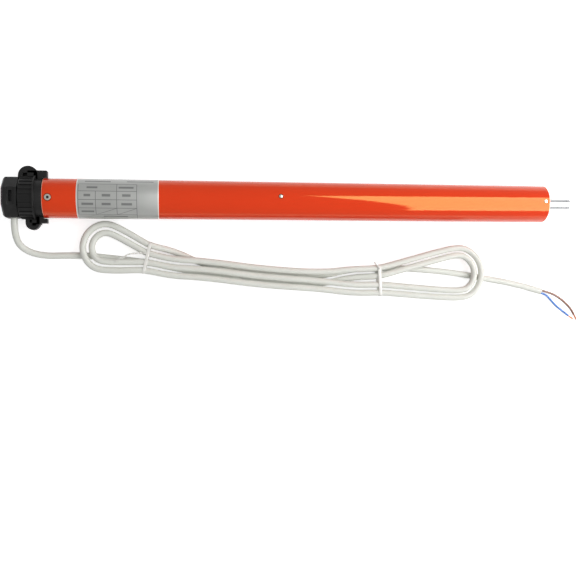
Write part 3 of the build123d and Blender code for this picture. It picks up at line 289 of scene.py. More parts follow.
class Nodes:
    """A node tree under construction."""

    def __init__(self, tree):
        self.tree = tree
        tree.nodes.clear()

    def add(self, kind, settings=None, sockets=None, out=0):
        """A new node with its settings and its linked or plain sockets, as one output's Number."""
        node = self.tree.nodes.new(kind)
        for name, value in (settings or {}).items():
            setattr(node, name, value)
        for name, value in (sockets or {}).items():
            if isinstance(value, Number):
                self.tree.links.new(value.socket, node.inputs[name])
            else:
                node.inputs[name].default_value = value
        return Number(self, node.outputs[out]) if node.outputs else None

    def tint(self, share, first, second):
        """The first colour where share is 0, the second where it is 1."""
        return self.add("ShaderNodeMix", {"data_type": "RGBA"}, {0: share, 6: first, 7: second}, out=2)

    def noise(self, place, scale, detail=2.0):
        """Soft noise between 0 and 1 at a place."""
        return self.add("ShaderNodeTexNoise", None, {"Vector": place, "Scale": scale, "Detail": detail})


def srgb(red, green, blue):
    """A colour as a picture shows it, 0 to 255, as the linear values that a shader takes."""
    shares = (v / 255 for v in (red, green, blue))
    return (*(s / 12.92 if s < 0.04045 else ((s + 0.055) / 1.055) ** 2.4 for s in shares), 1.0)


class Finish(Nodes):
    """A material with its Object coordinates at hand."""

    def __init__(self, name):
        self.material = bpy.data.materials.new(name)
        self.material.use_nodes = True
        super().__init__(self.material.node_tree)
        self.place = self.add("ShaderNodeTexCoord", out=3)
        self.x, self.y, self.z = (self.part(n) for n in range(3))

    def part(self, number):
        """One coordinate of the place: 0 for X, 1 for Y, 2 for Z."""
        return self.add("ShaderNodeSeparateXYZ", None, {0: self.place}, out=number)

    def bump(self, height, depth):
        """A surface relief whose height of 1 stands depth millimetres proud."""
        return self.add("ShaderNodeBump", None, {"Height": height, "Distance": depth * MM, "Strength": 1.0})

    def surface(self, **sockets):
        """The shader itself: sockets by their names, with underscores for the spaces."""
        named = {name.replace("_", " "): value for name, value in sockets.items()}
        shader = self.add("ShaderNodeBsdfPrincipled", None, named)
        self.add("ShaderNodeOutputMaterial", None, {"Surface": shader})
        return self.material


# %% [markdown]
# ## Orange enamel
# The tube is sprayed with a glossy orange enamel. Its colour hardly changes; what shows is the
# gloss, with sharp reflections that the pigment tints orange, a faint orange peel, a bare rim at
# both cut ends, and painted shadow rings round the screws and pins. A clear coat would
# reflect white, so the shader's own specular tint makes the gloss instead.

# %% Orange paint
screw_inset, pin_inset = 5.3, 4.3
x_screws = x_tube / MM + screw_inset
screw_count, screw_start, screw_step = 3, 93.0, 120.0
# The shader measures angles from -180 to 180 degrees, so these are brought into that range.
screw_angles = [(screw_start + screw_step * n + 180) % 360 - 180 for n in range(screw_count)]
x_motor_pin, motor_pin_angle = -21.45, 82.0
x_gearbox_pin, gearbox_pin_angle = x_tube_end / MM - pin_inset, 87.0
# Radii in millimetres of the painted shadow rings round the screws and pins.
screw_shadow_ring_r, pin_shadow_ring_r = 3.1, 1.9
screw_fixings = [(x_screws, angle, screw_shadow_ring_r) for angle in screw_angles]
pin_fixings = [
    (x_motor_pin, motor_pin_angle, pin_shadow_ring_r),
    (x_gearbox_pin, gearbox_pin_angle, pin_shadow_ring_r),
]
shadow_ring_half, shadow_ring_soft = 0.35, 0.2
rim_half, rim_soft = 0.45 * MM, 0.1 * MM


def round_axis(finish):
    """The angle round the tube's axis in degrees, from +Y over +Z, of a finish's place."""
    return finish.y.math("ARCTAN2", finish.z - axis_z, finish.y) * math.degrees(1)


def away_from(finish, x, at):
    """How far in millimetres a finish's place is from a fixing's axis, measured over the tube."""
    across = (round_axis(finish) - at) * math.radians(tube_r / MM)
    along = finish.x / MM - x
    return finish.x.math("SQRT", along * along + across * across)


def orange_paint():
    """Glossy enamel with painted shadow rings round the fixings and bare metal at both cut ends."""
    finish = Finish("orange_paint")
    # Painted shadow: a dark ring round each screw and pin, standing in for the shade at its edge.
    ring = 0.0
    for x, at, radius in screw_fixings + pin_fixings:
        ring = away_from(finish, x, at).near(radius, shadow_ring_half, shadow_ring_soft).either(ring)
    rim = finish.x.near(x_tube, rim_half, rim_soft).either(finish.x.near(x_tube_end, rim_half, rim_soft))
    cloud = finish.noise(finish.place, 14.0)
    paint = finish.tint(cloud, srgb(218, 46, 22), srgb(227, 54, 27))
    # The painted shadow rings darken the paint towards dark brown.
    colour = finish.tint(rim, finish.tint(ring * 0.8, paint, srgb(70, 32, 20)), srgb(226, 178, 160))
    peel = finish.noise(finish.place, 350.0, 1.0)
    return finish.surface(
        Base_Color=colour,
        Metallic=rim,
        Roughness=0.06 + 0.3 * rim,
        IOR=1.5,
        Specular_Tint=(1.0, 0.75, 0.23, 1.0),
        Normal=finish.bump(peel, 0.004),
    )


# %% [markdown]
# ## Foil label
# A silver foil is wrapped round the tube. It carries a plain ruled table with short grey bars and
# no words. The table could be an image, but lines at known places are easy to work out from
# the place along the tube and the angle round it, and stay sharp at any distance.

# %% Label foil
label_low, label_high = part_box("rating_label")
label_x0, label_x1 = label_low.x / MM, label_high.x / MM
label_columns = (-198.2, -183.5, -165.5, -148.4)
label_rows = (49.7, 73.8, 98.5, 122.9, 146.0)
last_column_end = 168.0
row_half, column_half, slant_half, border_half = 0.75, 0.24, 0.03, 0.75
row_soft, column_soft, cell_soft, x_soft, angle_soft = 0.35, 0.12, 0.1, 0.15, 0.3
ruled = {
    "rows": [(row, label_columns[0], label_columns[-1]) for row in label_rows],
    "columns": [
        (label_columns[0], label_rows[0], label_rows[-1]),
        (label_columns[1], label_rows[1], label_rows[-1]),
        (label_columns[2], label_rows[0], label_rows[-1]),
        (label_columns[3], label_rows[0], last_column_end),
    ],
}
# Each bar has its middle along X, its angle, and half its length in millimetres and degrees.
label_bars = [
    (-186.5, 62.0, 4.6, 3.2), (-157.5, 62.0, 6.4, 3.2),
    (-190.6, 86.0, 2.8, 3.6), (-174.5, 86.0, 3.6, 3.6), (-157.2, 86.0, 3.6, 3.6),
    (-190.4, 110.7, 5.0, 3.4), (-174.5, 110.7, 3.8, 3.4), (-157.0, 110.7, 4.6, 3.4),
    (-190.4, 134.5, 5.4, 3.2),
    (-182.0, 37.0, 11.0, 3.4), (-145.5, 36.5, 11.5, 2.6), (-167.0, 155.5, 10.5, 2.4),
]
ink_share, words_share = 0.7, 0.62


def label_foil():
    """Brushed silver foil with a ruled grid, plain grey bars and a pale border at both ends."""
    finish = Finish("label_foil")
    x, angle = finish.x / MM, round_axis(finish)
    ink = 0.0
    for row, left, right in ruled["rows"]:
        line = angle.near(row, row_half, row_soft) * x.between(left, right, x_soft)
        ink = line.either(ink)
    for column, top, bottom in ruled["columns"]:
        line = x.near(column, column_half, column_soft) * angle.between(top, bottom, angle_soft)
        ink = line.either(ink)
    top, bottom = label_rows[-2], label_rows[-1]
    for left, right in zip(label_columns[1:], label_columns[2:]):
        slant = (x - left) / (right - left) - (angle - bottom) / (top - bottom)
        cell = x.between(left, right, cell_soft) * angle.between(top, bottom, angle_soft)
        ink = (slant.near(0.0, slant_half, slant_half / 2) * cell).either(ink)
    words = 0.0
    for middle, at, half, half_angle in label_bars:
        bar = x.near(middle, half, 0.3) * angle.near(at, half_angle, 0.9)
        words = bar.either(words)
    border = x.near(label_x0, border_half, x_soft).either(x.near(label_x1, border_half, x_soft))
    cloud = finish.noise(finish.place, 45.0, 3.0)
    foil = finish.tint(cloud, srgb(154, 156, 153), srgb(173, 174, 171))
    foil = finish.tint(border, foil, srgb(226, 224, 219))
    marked = finish.tint((ink * ink_share).either(words * words_share), foil, srgb(48, 52, 54))
    return finish.surface(
        Base_Color=marked,
        Metallic=0.15,
        Roughness=0.34 + 0.12 * cloud,
        Coat_Weight=0.5,
        Coat_Roughness=0.12,
        Normal=finish.bump(finish.noise(finish.place, 220.0), 0.01),
    )


# %% [markdown]
# ## Moulded and turned materials
# The other finishes differ in colour and shine, and in the grain that their making leaves: a
# mould's fine pebble, or a lathe's lines round the axis. One recipe takes those as numbers, and
# each material's own line says what it is.


# %% Plain finishes
def plain(name, dark, light, roughness, metallic=0.0, grain=700.0, depth=0.01, stretch=(1, 1, 1),
          coat=0.0, specular=0.5):
    """A finish between two close colours, with grain in its colour, gloss and relief."""
    finish = Finish(name)
    along = finish.add("ShaderNodeVectorMath", {"operation": "MULTIPLY"}, {0: finish.place, 1: stretch})
    fine = finish.noise(along, grain, 3.0)
    broad = finish.noise(finish.place, grain / 12, 2.0)
    return finish.surface(
        Base_Color=finish.tint(0.5 * fine + 0.5 * broad, srgb(*dark), srgb(*light)),
        Metallic=metallic,
        Roughness=roughness - 0.06 + 0.12 * broad,
        Coat_Weight=coat,
        Coat_Roughness=0.2,
        Specular_IOR_Level=specular,
        Normal=finish.bump(fine, depth),
    )


# Radii in millimetres over which the painted shade inside each screw's socket fades out.
socket_shade_edge = (1.1, 1.4)


def screw_steel():
    """Plated steel, with painted shade darkening the inside of the three hex sockets."""
    finish = Finish("screw_steel")
    # Painted shade: inside the sockets the steel turns near black, less metallic and rougher.
    socket = 0.0
    for x, at, _ in screw_fixings:
        socket = (1 - away_from(finish, x, at).rise(*socket_shade_edge)).either(socket)
    grain = finish.noise(finish.place, 700.0, 3.0)
    steel = finish.tint(grain, srgb(150, 148, 140), srgb(205, 203, 196))
    return finish.surface(
        Base_Color=finish.tint(socket, steel, srgb(26, 24, 22)),
        Metallic=0.9 * (1 - socket),
        Roughness=0.3 + 0.3 * socket,
        Normal=finish.bump(grain, 0.01),
    )


turned = (8, 0.3, 0.3)
finishes = {
    "orange_paint": orange_paint(),
    "label_foil": label_foil(),
    "black_plastic": plain("black_plastic", (3, 3, 3), (13, 13, 13), 0.5, grain=1500.0, specular=0.25),
    "screw_steel": screw_steel(),
    "gland_rubber": plain("gland_rubber", (18, 18, 18), (30, 30, 30), 0.7),
    "cable_jacket": plain(
        "cable_jacket", (212, 213, 205), (228, 229, 222), 0.5, grain=500.0, depth=0.006, specular=0.2
    ),
    "core_brown": plain("core_brown", (104, 58, 34), (126, 72, 44), 0.4, coat=0.2),
    "core_blue": plain("core_blue", (30, 96, 180), (48, 118, 200), 0.4, coat=0.2),
    "copper": plain("copper", (190, 112, 72), (222, 146, 100), 0.3, 1.0),
    "tie_plastic": plain("tie_plastic", (214, 213, 207), (234, 233, 228), 0.4, coat=0.2),
    "white_plastic": plain("white_plastic", (216, 214, 204), (228, 226, 218), 0.45),
    "switch_case": plain("switch_case", (140, 34, 32), (158, 44, 40), 0.4),
    "motor_steel": plain("motor_steel", (158, 160, 160), (186, 187, 186), 0.35, 0.9, stretch=turned),
    "magnet_ferrite": plain("magnet_ferrite", (52, 52, 54), (70, 70, 72), 0.6),
    "carbon": plain("carbon", (34, 34, 36), (56, 56, 58), 0.55),
    "bronze": plain("bronze", (150, 110, 60), (178, 134, 78), 0.4, 0.9, stretch=turned),
    "board": plain("board", (36, 96, 52), (50, 118, 66), 0.4, coat=0.4),
    "board_parts": plain("board_parts", (58, 48, 40), (92, 76, 60), 0.45),
    "laminated_steel": plain(
        "laminated_steel", (96, 98, 100), (140, 142, 144), 0.45, 0.9, 1600.0, stretch=turned
    ),
    "gear_steel": plain("gear_steel", (140, 142, 144), (176, 178, 180), 0.32, 1.0, stretch=turned),
    "friction_lining": plain("friction_lining", (84, 74, 62), (116, 104, 90), 0.8),
    "shaft_steel": plain("shaft_steel", (172, 173, 175), (192, 193, 195), 0.28, 1.0, 900.0, 0.002, turned),
}
slot_of = {part["node"]: part["material_slot"] for part in frame["record"]["subparts"]}
for name, node in frame["nodes"].items():
    node.data.materials.clear()
    node.data.materials.append(finishes[slot_of[name]])
print(len(finishes), "finishes on", len(slot_of), "nodes")

# %% [markdown]
# ## Dressing the cords
# With the finishes at hand, the cable and its cores get theirs, and each says which body it rides
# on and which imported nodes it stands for.


# %% Cords dressed
def dress(piece, slot, body, *nodes):
    """Give a piece its finish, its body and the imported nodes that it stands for."""
    piece.data.materials.clear()
    piece.data.materials.append(finishes[slot])
    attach(piece, body)
    if nodes:
        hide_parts(*nodes)
    return piece


dress(cable, "cable_jacket", "housing", "cable_lead", "cable_hank", "cable_tail")
for colour, (core, _) in cores.items():
    dress(core, f"core_{colour}", "housing", f"core_{colour}")
print("dressed:", cable.name, *(core.name for core, _ in cores.values()))

# %% [markdown]
# ## Shapes in mesh code
# Three small makers serve all the outer pieces. A lathe turns a profile of (x, radius) corners
# round the motor's axis and rounds each corner, a loft joins rings of points, and a plate, made
# with the crown, pushes a flat outline to a thickness. Every shape is closed, so its faces can be
# turned outwards.


# %% Mesh makers
smooth_angle = 35


def piece_from(name, bm, smooth=smooth_angle):
    """A new object from a finished bmesh: doubles merged, faces outwards, soft and sharp edges set."""
    bmesh.ops.remove_doubles(bm, verts=bm.verts, dist=1e-6)
    bmesh.ops.recalc_face_normals(bm, faces=bm.faces)
    mesh = bpy.data.meshes.new(name)
    bm.to_mesh(mesh)
    bm.free()
    mesh.shade_smooth()
    mesh.set_sharp_from_angle(angle=math.radians(smooth))
    return added(name, mesh)


def loft(bm, rings, closed=False):
    """Faces between rings of as many points each. Open lofts get a face at each end."""
    rows = [[bm.verts.new(point) for point in ring] for ring in rings]
    pairs = zip(rows, rows[1:] + rows[:1]) if closed else zip(rows, rows[1:])
    for row, following in pairs:
        for n in range(len(row)):
            m = (n + 1) % len(row)
            bm.faces.new((row[n], row[m], following[m], following[n]))
    if not closed:
        bm.faces.new(rows[0])
        bm.faces.new(rows[-1])


def rounded(corners, steps=3):
    """A closed outline of (x, y, rounding) corners, each rounded by a short curve."""
    points = []
    for n, (x, y, rounding) in enumerate(corners):
        corner = Vector((x, y))
        if not rounding:
            points.append(corner)
            continue
        to_last = (Vector(corners[n - 1][:2]) - corner).normalized() * rounding
        to_next = (Vector(corners[(n + 1) % len(corners)][:2]) - corner).normalized() * rounding
        for step in range(steps + 1):
            t = step / steps
            points.append(corner + to_last * (1 - t) ** 2 + to_next * t**2)
    return points


def section_at(angle, outline):
    """An outline of (x, radius) points in millimetres, at an angle round the motor's axis."""
    y, z = math.cos(angle), math.sin(angle)
    return [(p.x * MM, p.y * MM * y, axis_z + p.y * MM * z) for p in outline]


def lathe(name, corners, around=96):
    """A ring-shaped shell from a closed outline of (x, radius, rounding) corners in millimetres."""
    outline = rounded(corners)
    bm = bmesh.new()
    loft(bm, [section_at(2 * math.pi * n / around, outline) for n in range(around)], closed=True)
    return piece_from(name, bm)


def bevelled(piece, width, segments=2, angle=30):
    """Round a piece's sharp edges, and make the result its plain mesh."""
    bevel = piece.modifiers.new("edges", "BEVEL")
    bevel.width, bevel.segments = width * MM, segments
    bevel.limit_method, bevel.angle_limit = "ANGLE", math.radians(angle)
    bevel.harden_normals = True
    return applied(piece)


def applied(piece):
    """The piece with its modifiers' result as its own plain mesh."""
    graph = bpy.context.evaluated_depsgraph_get()
    graph.update()
    mesh = bpy.data.meshes.new_from_object(piece.evaluated_get(graph))
    piece.modifiers.clear()
    piece.data = mesh
    return piece


# %% [markdown]
# ## Tube and label
# The tube is a drawn steel pipe. A lathe with a hundred and sixty steps keeps its reflections
# straight, which matters more here than anywhere else. An extra ring of points near the head keeps
# the screw holes, cut later, from disturbing the long faces. The label is a thin arc on the tube.

# %% Tube
tube_wall, rim_rounding = 1.2, 0.4
x0, x1, outer = x_tube / MM, x_tube_end / MM, tube_r / MM
screw_zone, tube_steps = 12.0, 160
tube = lathe("tube_shell", [
    (x0, outer - tube_wall, 0.2), (x0, outer, rim_rounding), (x0 + screw_zone, outer, 0),
    (x1, outer, rim_rounding), (x1, outer - tube_wall, 0.2), (x0 + screw_zone, outer - tube_wall, 0),
], around=tube_steps)
print("tube has", len(tube.data.polygons), "faces before its holes")

# %% Label
label_r = (label_high.z - axis_z) / MM
label_inner_r = outer + 0.02
label_from, label_to, label_steps = -60.0, 240.0, 120


def label_ring(angle):
    """The label's section at an angle: a thin bar along the tube with eased edges."""
    bar = rounded([
        (label_x0, label_inner_r, 0), (label_x0, label_r, 0.1), (label_x1, label_r, 0.1),
        (label_x1, label_inner_r, 0),
    ], 2)
    return section_at(math.radians(angle), bar)


bm = bmesh.new()
label_step = (label_to - label_from) / label_steps
loft(bm, [label_ring(label_from + label_step * n) for n in range(label_steps + 1)])
dress(piece_from("foil_label", bm), "label_foil", "housing", "rating_label")
print("label radius", round(label_r, 2), "mm")

# %% [markdown]
# ## Crown
# The crown is one moulding that turns with the awning's roller: a ribbed barrel, two flat ears that
# catch the roller's wall, a flange, a skirt, and tabs over the tube's end. Its body is turned
# on the lathe. The ears and tabs are plates through it, and the ribs are repeated next.

# %% Crown body
barrel_length, flange_thickness, skirt_length = 12.3, 1.4, 6.0
x_crown = -249.1  # the barrel's front; the long ear reaches a little further
x_flange = x_crown + barrel_length
x_skirt = x_flange + flange_thickness
x_crown_back = x_skirt + skirt_length
barrel_r, flange_r, skirt_r, bore_r, neck_r = 18.0, 20.0, 16.8, 15.3, 9.55
front_wall = 4.0
crown = lathe("crown_barrel", [
    (x_crown, neck_r, 0.2), (x_crown, barrel_r, 0.8), (x_flange, barrel_r, 0.2), (x_flange, flange_r, 0.35),
    (x_skirt, flange_r, 0.35), (x_skirt, skirt_r, 0.2), (x_crown_back, skirt_r, 0.4),
    (x_crown_back, bore_r, 0.2), (x_crown + front_wall, bore_r, 0.2), (x_crown + front_wall, neck_r, 0.2),
])
dress(crown, "black_plastic", "crown", "crown_adapter")
print(f"crown from {x_crown:.1f} to {x_crown_back:.1f} mm, flange at {x_flange:.1f} mm")


# %% Crown plates
def plate(name, corners, thickness, pockets=(), edge=0.35, steps=8):
    """A flat outline of (x, y, rounding) corners, centred at the axis's height, less its pockets."""
    outline = rounded(corners, steps)
    half = thickness / 2 * MM
    bm = bmesh.new()
    loft(bm, [[(p.x * MM, p.y * MM, axis_z + side * half) for p in outline] for side in (-1, 1)])
    return bevelled(cut(piece_from(name, bm, 25), *pockets), edge, 3, 40)


def ear(name, x, side, radius, reach, thickness, pockets, foot=12.0, steps=16):
    """One ear: straight sides from the barrel up to a half round top."""
    middle = reach - radius
    corners = [(x - radius, side * foot, 0)]
    for n in range(steps + 1):
        angle = math.pi * (1 - n / steps)
        corners.append((x + radius * math.cos(angle), side * (middle + radius * math.sin(angle)), 0))
    corners.append((x + radius, side * foot, 0))
    return plate(name, corners, thickness, pockets)


def carve(piece, tool):
    """Take a closed tool out of a piece."""
    difference = piece.modifiers.new("pocket", "BOOLEAN")
    difference.operation, difference.object, difference.solver = "DIFFERENCE", tool, "EXACT"
    applied(piece)
    bpy.data.objects.remove(tool)


def cut(piece, *cutters):
    """Take simple blocks, given by their low and high corners in millimetres, out of a piece."""
    for low, high in cutters:
        size = (Vector(high) - Vector(low)) * MM
        middle = (Vector(high) + Vector(low)) * MM / 2
        block = Matrix.Translation(middle) @ Matrix.Diagonal((*size, 1))
        bm = bmesh.new()
        bmesh.ops.create_cube(bm, size=1.0)
        bmesh.ops.transform(bm, matrix=block, verts=bm.verts)
        carve(piece, piece_from("tool", bm))
    return piece


axis_mm = axis_z / MM
ear_thickness, ear_reach, pocket_depth = 7.0, 28.0, 5.0
pocket_low, pocket_high = 19.0, 21.6
crown_ears = (
    ("crown_ear_long", x_crown + 6.8, 1, 8.5, 4.0),
    ("crown_ear_short", x_crown + 10.7, -1, 6.1, 3.2),
)
crown_plates = []
for name, x, side, radius, wall in crown_ears:
    print(f"{name} at {x:.1f} mm, {2 * radius} mm wide")
    pocket = sorted((side * pocket_low, side * pocket_high))
    top = axis_mm + ear_thickness / 2
    low = (x - radius + wall, pocket[0], top - pocket_depth)
    high = (x + radius - wall, pocket[1], top + 1)
    crown_plates.append(ear(name, x, side, radius, ear_reach, ear_thickness, [(low, high)]))

# %% Crown tabs
tab_root, tab_clear = 16.4, 18.1
x_tab_root = x_crown_back - 0.2
x_long_start, x_long_end, long_reach = x_crown + 6.1, x_crown_back + 3.2, 24.0
x_short_start, x_short_end = x_crown + 10.1, x_crown_back + 3.4
x_step, step_reaches = x_crown_back - 2.0, (22.0, 23.3, 24.6)
crown_plates.append(plate("crown_tab_long", [
    (x_long_start, long_reach, 0.5), (x_long_end, long_reach, 0.8), (x_long_end, tab_clear, 0.3),
    (x_tab_root, tab_clear, 0), (x_tab_root, tab_root, 0), (x_long_start, tab_root, 0),
], ear_thickness))
crown_plates.append(plate("crown_tab_short", [
    (x_short_start, -tab_root, 0), (x_tab_root, -tab_root, 0), (x_tab_root, -tab_clear, 0),
    (x_short_end, -tab_clear, 0), (x_short_end, -step_reaches[0], 0.4), (x_step, -step_reaches[0], 0.2),
    (x_step, -step_reaches[1], 0.3), (x_skirt, -step_reaches[1], 0.2), (x_skirt, -step_reaches[2], 0.3),
    (x_short_start, -step_reaches[2], 0.3),
], ear_thickness))
for made in crown_plates:
    dress(made, "black_plastic", "crown")
print("crown plates:", [made.name for made in crown_plates])

# %% [markdown]
# ## Repeats round the axis
# The barrel's ribs and the tube's three screws stand at equal steps round the motor's axis. One
# Geometry Nodes tree serves both: it sets points on a ring, turns a form to face outwards at each,
# and realizes the result. Its sizes are inputs of the tree, so each use only states its numbers.


# %% Ring tree
def ring_tree():
    """Geometry Nodes: a form repeated round the X axis at a height above the floor."""
    tree = bpy.data.node_groups.new("ring_of_forms", "GeometryNodeTree")
    inputs = (("Form", "Object"), ("Finish", "Material"), ("Count", "Int"), ("Start", "Float"),
              ("Step", "Float"), ("Station", "Float"), ("Height", "Float"))
    for name, kind in inputs:
        tree.interface.new_socket(name=name, in_out="INPUT", socket_type=f"NodeSocket{kind}")
    tree.interface.new_socket(name="Geometry", in_out="OUTPUT", socket_type="NodeSocketGeometry")
    nodes = Nodes(tree)
    given = {name: nodes.add("NodeGroupInput", out=n) for n, (name, _) in enumerate(inputs)}
    points = nodes.add("GeometryNodePoints", None, {"Count": given["Count"]})
    number = nodes.add("GeometryNodeInputIndex")
    turn = given["Start"] + number * given["Step"]
    place = nodes.add("ShaderNodeCombineXYZ", None, {0: given["Station"], 2: given["Height"]})
    turned_by = nodes.add("ShaderNodeCombineXYZ", None, {0: turn})
    placed = nodes.add("GeometryNodeSetPosition", None, {"Geometry": points, "Position": place})
    form = nodes.add("GeometryNodeObjectInfo", None, {"Object": given["Form"]}, out=4)
    copied = {"Points": placed, "Instance": form, "Rotation": turned_by}
    copies = nodes.add("GeometryNodeInstanceOnPoints", None, copied)
    real = nodes.add("GeometryNodeRealizeInstances", None, {"Geometry": copies})
    done = nodes.add("GeometryNodeSetMaterial", None, {"Geometry": real, "Material": given["Finish"]})
    nodes.add("NodeGroupOutput", None, {"Geometry": done})
    return tree


ring = ring_tree()
print("ring tree has", len(ring.nodes), "nodes")


def repeat_round(name, form, slot, count, start, step, station):
    """A plain mesh of a form repeated round the axis. The form points along +Y from the axis."""
    host = added(name, bpy.data.meshes.new(name))
    modifier = host.modifiers.new("ring", "NODES")
    modifier.node_group = ring
    values = {"Form": form, "Finish": finishes[slot], "Count": count, "Start": math.radians(start),
              "Step": math.radians(step), "Station": station * MM, "Height": axis_z}
    for item in ring.interface.items_tree:
        if item.in_out == "INPUT":
            modifier[item.identifier] = values[item.name]
    applied(host)
    bpy.data.objects.remove(form)
    print(name, "has", len(host.data.polygons), "faces")
    return host


# %% Ribs
rib_count, rib_length, rib_width, rib_height = 26, 11.4, 1.15, 0.7
rib_from_front, rib_sunk, rib_rounding = 0.9, 0.6, 0.25
bm = bmesh.new()
section = rounded([
    (-rib_width / 2, barrel_r - rib_sunk, 0),
    (rib_width / 2, barrel_r - rib_sunk, 0),
    (rib_width / 2, barrel_r + rib_height, rib_rounding),
    (-rib_width / 2, barrel_r + rib_height, rib_rounding),
], 2)
loft(bm, [[(x * MM, p.y * MM, p.x * MM) for p in section] for x in (0.0, rib_length)])
rib = piece_from("rib", bm)
x_ribs = x_crown + rib_from_front
ribs = repeat_round("crown_ribs", rib, "black_plastic", rib_count, 0, 360 / rib_count, x_ribs)
dress(ribs, "black_plastic", "crown")

# %% Tube screws
screw_r, screw_proud, socket_r, socket_depth = 2.7, 0.35, 1.25, 1.3
screw_sunk, hole_clearance, drill_in, drill_out = 2.0, 0.05, 4.0, 2.0


def screw_ring(out, radius, sides=48, hexagon=False):
    """A ring of points round a screw's axis, which points along +Y, round or six-sided."""
    ring_points = []
    for n in range(sides):
        angle = 2 * math.pi * n / sides
        reach = radius
        if hexagon:
            sector = (angle + math.pi / 6) % (math.pi / 3) - math.pi / 6
            reach = radius * math.cos(math.pi / 6) / math.cos(sector)
        ring_points.append((reach * math.cos(angle) * MM, out * MM, reach * math.sin(angle) * MM))
    return ring_points


top = outer + screw_proud
# Each ring of the screw has its distance from the tube's axis, its radius, and whether it is six-sided.
screw_profile = (
    (outer - screw_sunk, screw_r, False),
    (top - 0.35, screw_r, False),
    (top - 0.1, screw_r - 0.12, False),
    (top, screw_r - 0.4, False),
    (top, socket_r + 0.22, False),
    (top - 0.15, socket_r, True),
    (top - socket_depth, socket_r * 0.96, True),
)
bm = bmesh.new()
loft(bm, [screw_ring(out, radius, hexagon=hexagon) for out, radius, hexagon in screw_profile])
screw = piece_from("screw", bm)
screws = repeat_round("tube_screw_set", screw, "screw_steel", screw_count, screw_start, screw_step, x_screws)
dress(screws, "screw_steel", "housing", "tube_screws")

# %% [markdown]
# ## Screw holes
# The screws sit in round holes that are a little wider than their heads. A drill of three
# cylinders is carved out of the tube, which gets its finish after that.


# %% Screw holes in the tube
def turned_to(rings, x, angle):
    """Rings that point along +Y, moved to a station and turned round the tube's axis."""
    turn = Matrix.Translation((x * MM, 0, axis_z)) @ Matrix.Rotation(math.radians(angle), 4, "X")
    return [[turn @ Vector(point) for point in points] for points in rings]


bm = bmesh.new()
for x, angle, _ in screw_fixings:
    drill = [screw_ring(out, screw_r + hole_clearance) for out in (outer - drill_in, outer + drill_out)]
    loft(bm, turned_to(drill, x, angle))
carve(tube, piece_from("drill", bm))
print("tube has", len(tube.data.polygons), "faces with its holes")
tube.data.shade_smooth()
tube.data.set_sharp_from_angle(angle=math.radians(smooth_angle))
dress(tube, "orange_paint", "housing", "motor_tube")

# %% [markdown]
# ## Pins
# The two pins are small domed rivet heads, one over the motor and one at the gearbox.

# %% Pins
# Each ring of a pin has its height above the tube and its radius.
pin_profile, pin_sides = ((-1.0, 1.1), (0.0, 1.6), (0.2, 1.5), (0.32, 1.1), (0.35, 0.5)), 24
bm = bmesh.new()
for x, angle, _ in pin_fixings:
    pin_rings = [screw_ring(outer + out, radius, pin_sides) for out, radius in pin_profile]
    loft(bm, turned_to(pin_rings, x, angle))
dress(piece_from("rivet_pins", bm), "screw_steel", "housing", "tube_pins")
print("pins at", [round(x, 1) for x, _, _ in pin_fixings], "mm")

# %% [markdown]
# ## Head block, bearing and shaft
# These come from the frame with every recess, groove and chamfer in place, and only lack the soft
# edges of a moulding or a turned bar. A merged copy of each, with its flat facets dissolved, takes
# a narrow bevel.


# %% Bevelled copies
def eased_copy(name, node, width, body, slot):
    """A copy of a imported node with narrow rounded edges, which stands for it."""
    bm = bmesh.new()
    bm.from_mesh(frame["nodes"][node].data)
    bmesh.ops.remove_doubles(bm, verts=bm.verts, dist=1e-6)
    bmesh.ops.dissolve_limit(bm, angle_limit=math.radians(0.5), verts=bm.verts, edges=bm.edges)
    piece = bevelled(piece_from(name, bm), width, 2, 40)
    return dress(piece, slot, body, node)


eased_copy("head_casing", "head_block", 0.35, "housing", "black_plastic")
eased_copy("bearing_face", "output_bearing", 0.25, "housing", slot_of["output_bearing"])
shaft = eased_copy("polished_shaft", "output_shaft", 0.15, "output", "shaft_steel")
print("shaft has", len(shaft.data.polygons), "faces")

# %% [markdown]
# ## Ties
# Two thin white ties hold the hank, each a ribbon drawn round the strands with its ends twisted
# together. The ribbon follows the outline round the strands as they lie at that station.

# %% Tie makers
tie_gap, twist_r, twist_flat, twist_turn = 0.1, 0.45, 0.9, 0.32
round_steps, twist_steps = 36, 16
tie_section = (
    (-1.5, 0.1), (-1.3, 0.42), (-0.4, 0.5), (0.4, 0.5), (1.3, 0.42), (1.5, 0.1), (1.3, 0.0), (-1.3, 0.0),
)
tie_twists = {
    -141.0: [(-141.5, -48.0, 14.1), (-150.5, -47.2, 14.6), (-160.0, -49.6, 14.5), (-168.5, -55.0, 14.3)],
    76.0: [(75.6, -61.8, 14.1), (72.4, -58.6, 14.5), (70.4, -55.4, 13.4)],
}


def square_to(way):
    """Two directions square to a way, the first one level."""
    level = way.cross(Vector((0, 0, 1))).normalized()
    return level, level.cross(way)


def hull(points):
    """The convex outline round flat points, turning left."""
    def half(ordered):
        kept = []
        for p in ordered:
            while len(kept) > 1 and (kept[-1] - kept[-2]).cross(p - kept[-2]) <= 0:
                kept.pop()
            kept.append(p)
        return kept[:-1]

    ordered = sorted(points, key=lambda p: (p.x, p.y))
    return half(ordered) + half(ordered[::-1])


def tie_band(bm, x):
    """A ribbon round the strands at a station of the hank."""
    places = [strand[stations.index(x)] for strand in passes]
    outline = []
    for side, layer in places:
        for n in range(round_steps):
            angle = 2 * math.pi * n / round_steps
            reach = cable_d / 2 + tie_gap
            outline.append(Vector((
                side * strand_pitch + reach * math.cos(angle),
                hank_lower + (layer - 1) * hank_layer + reach * math.sin(angle),
            )))
    outline = hull(outline)
    centre = sum(outline, Vector((0, 0))) / len(outline)
    rings = []
    for point in outline:
        out = (point - centre).normalized()
        ring = []
        for along, depth in tie_section:
            at = point + out * depth
            middle = in_bundle(x, at.x, 1)
            ring.append(Vector((middle.x + along, middle.y, at.y)) * MM)
        rings.append(ring)
    loft(bm, rings, closed=True)


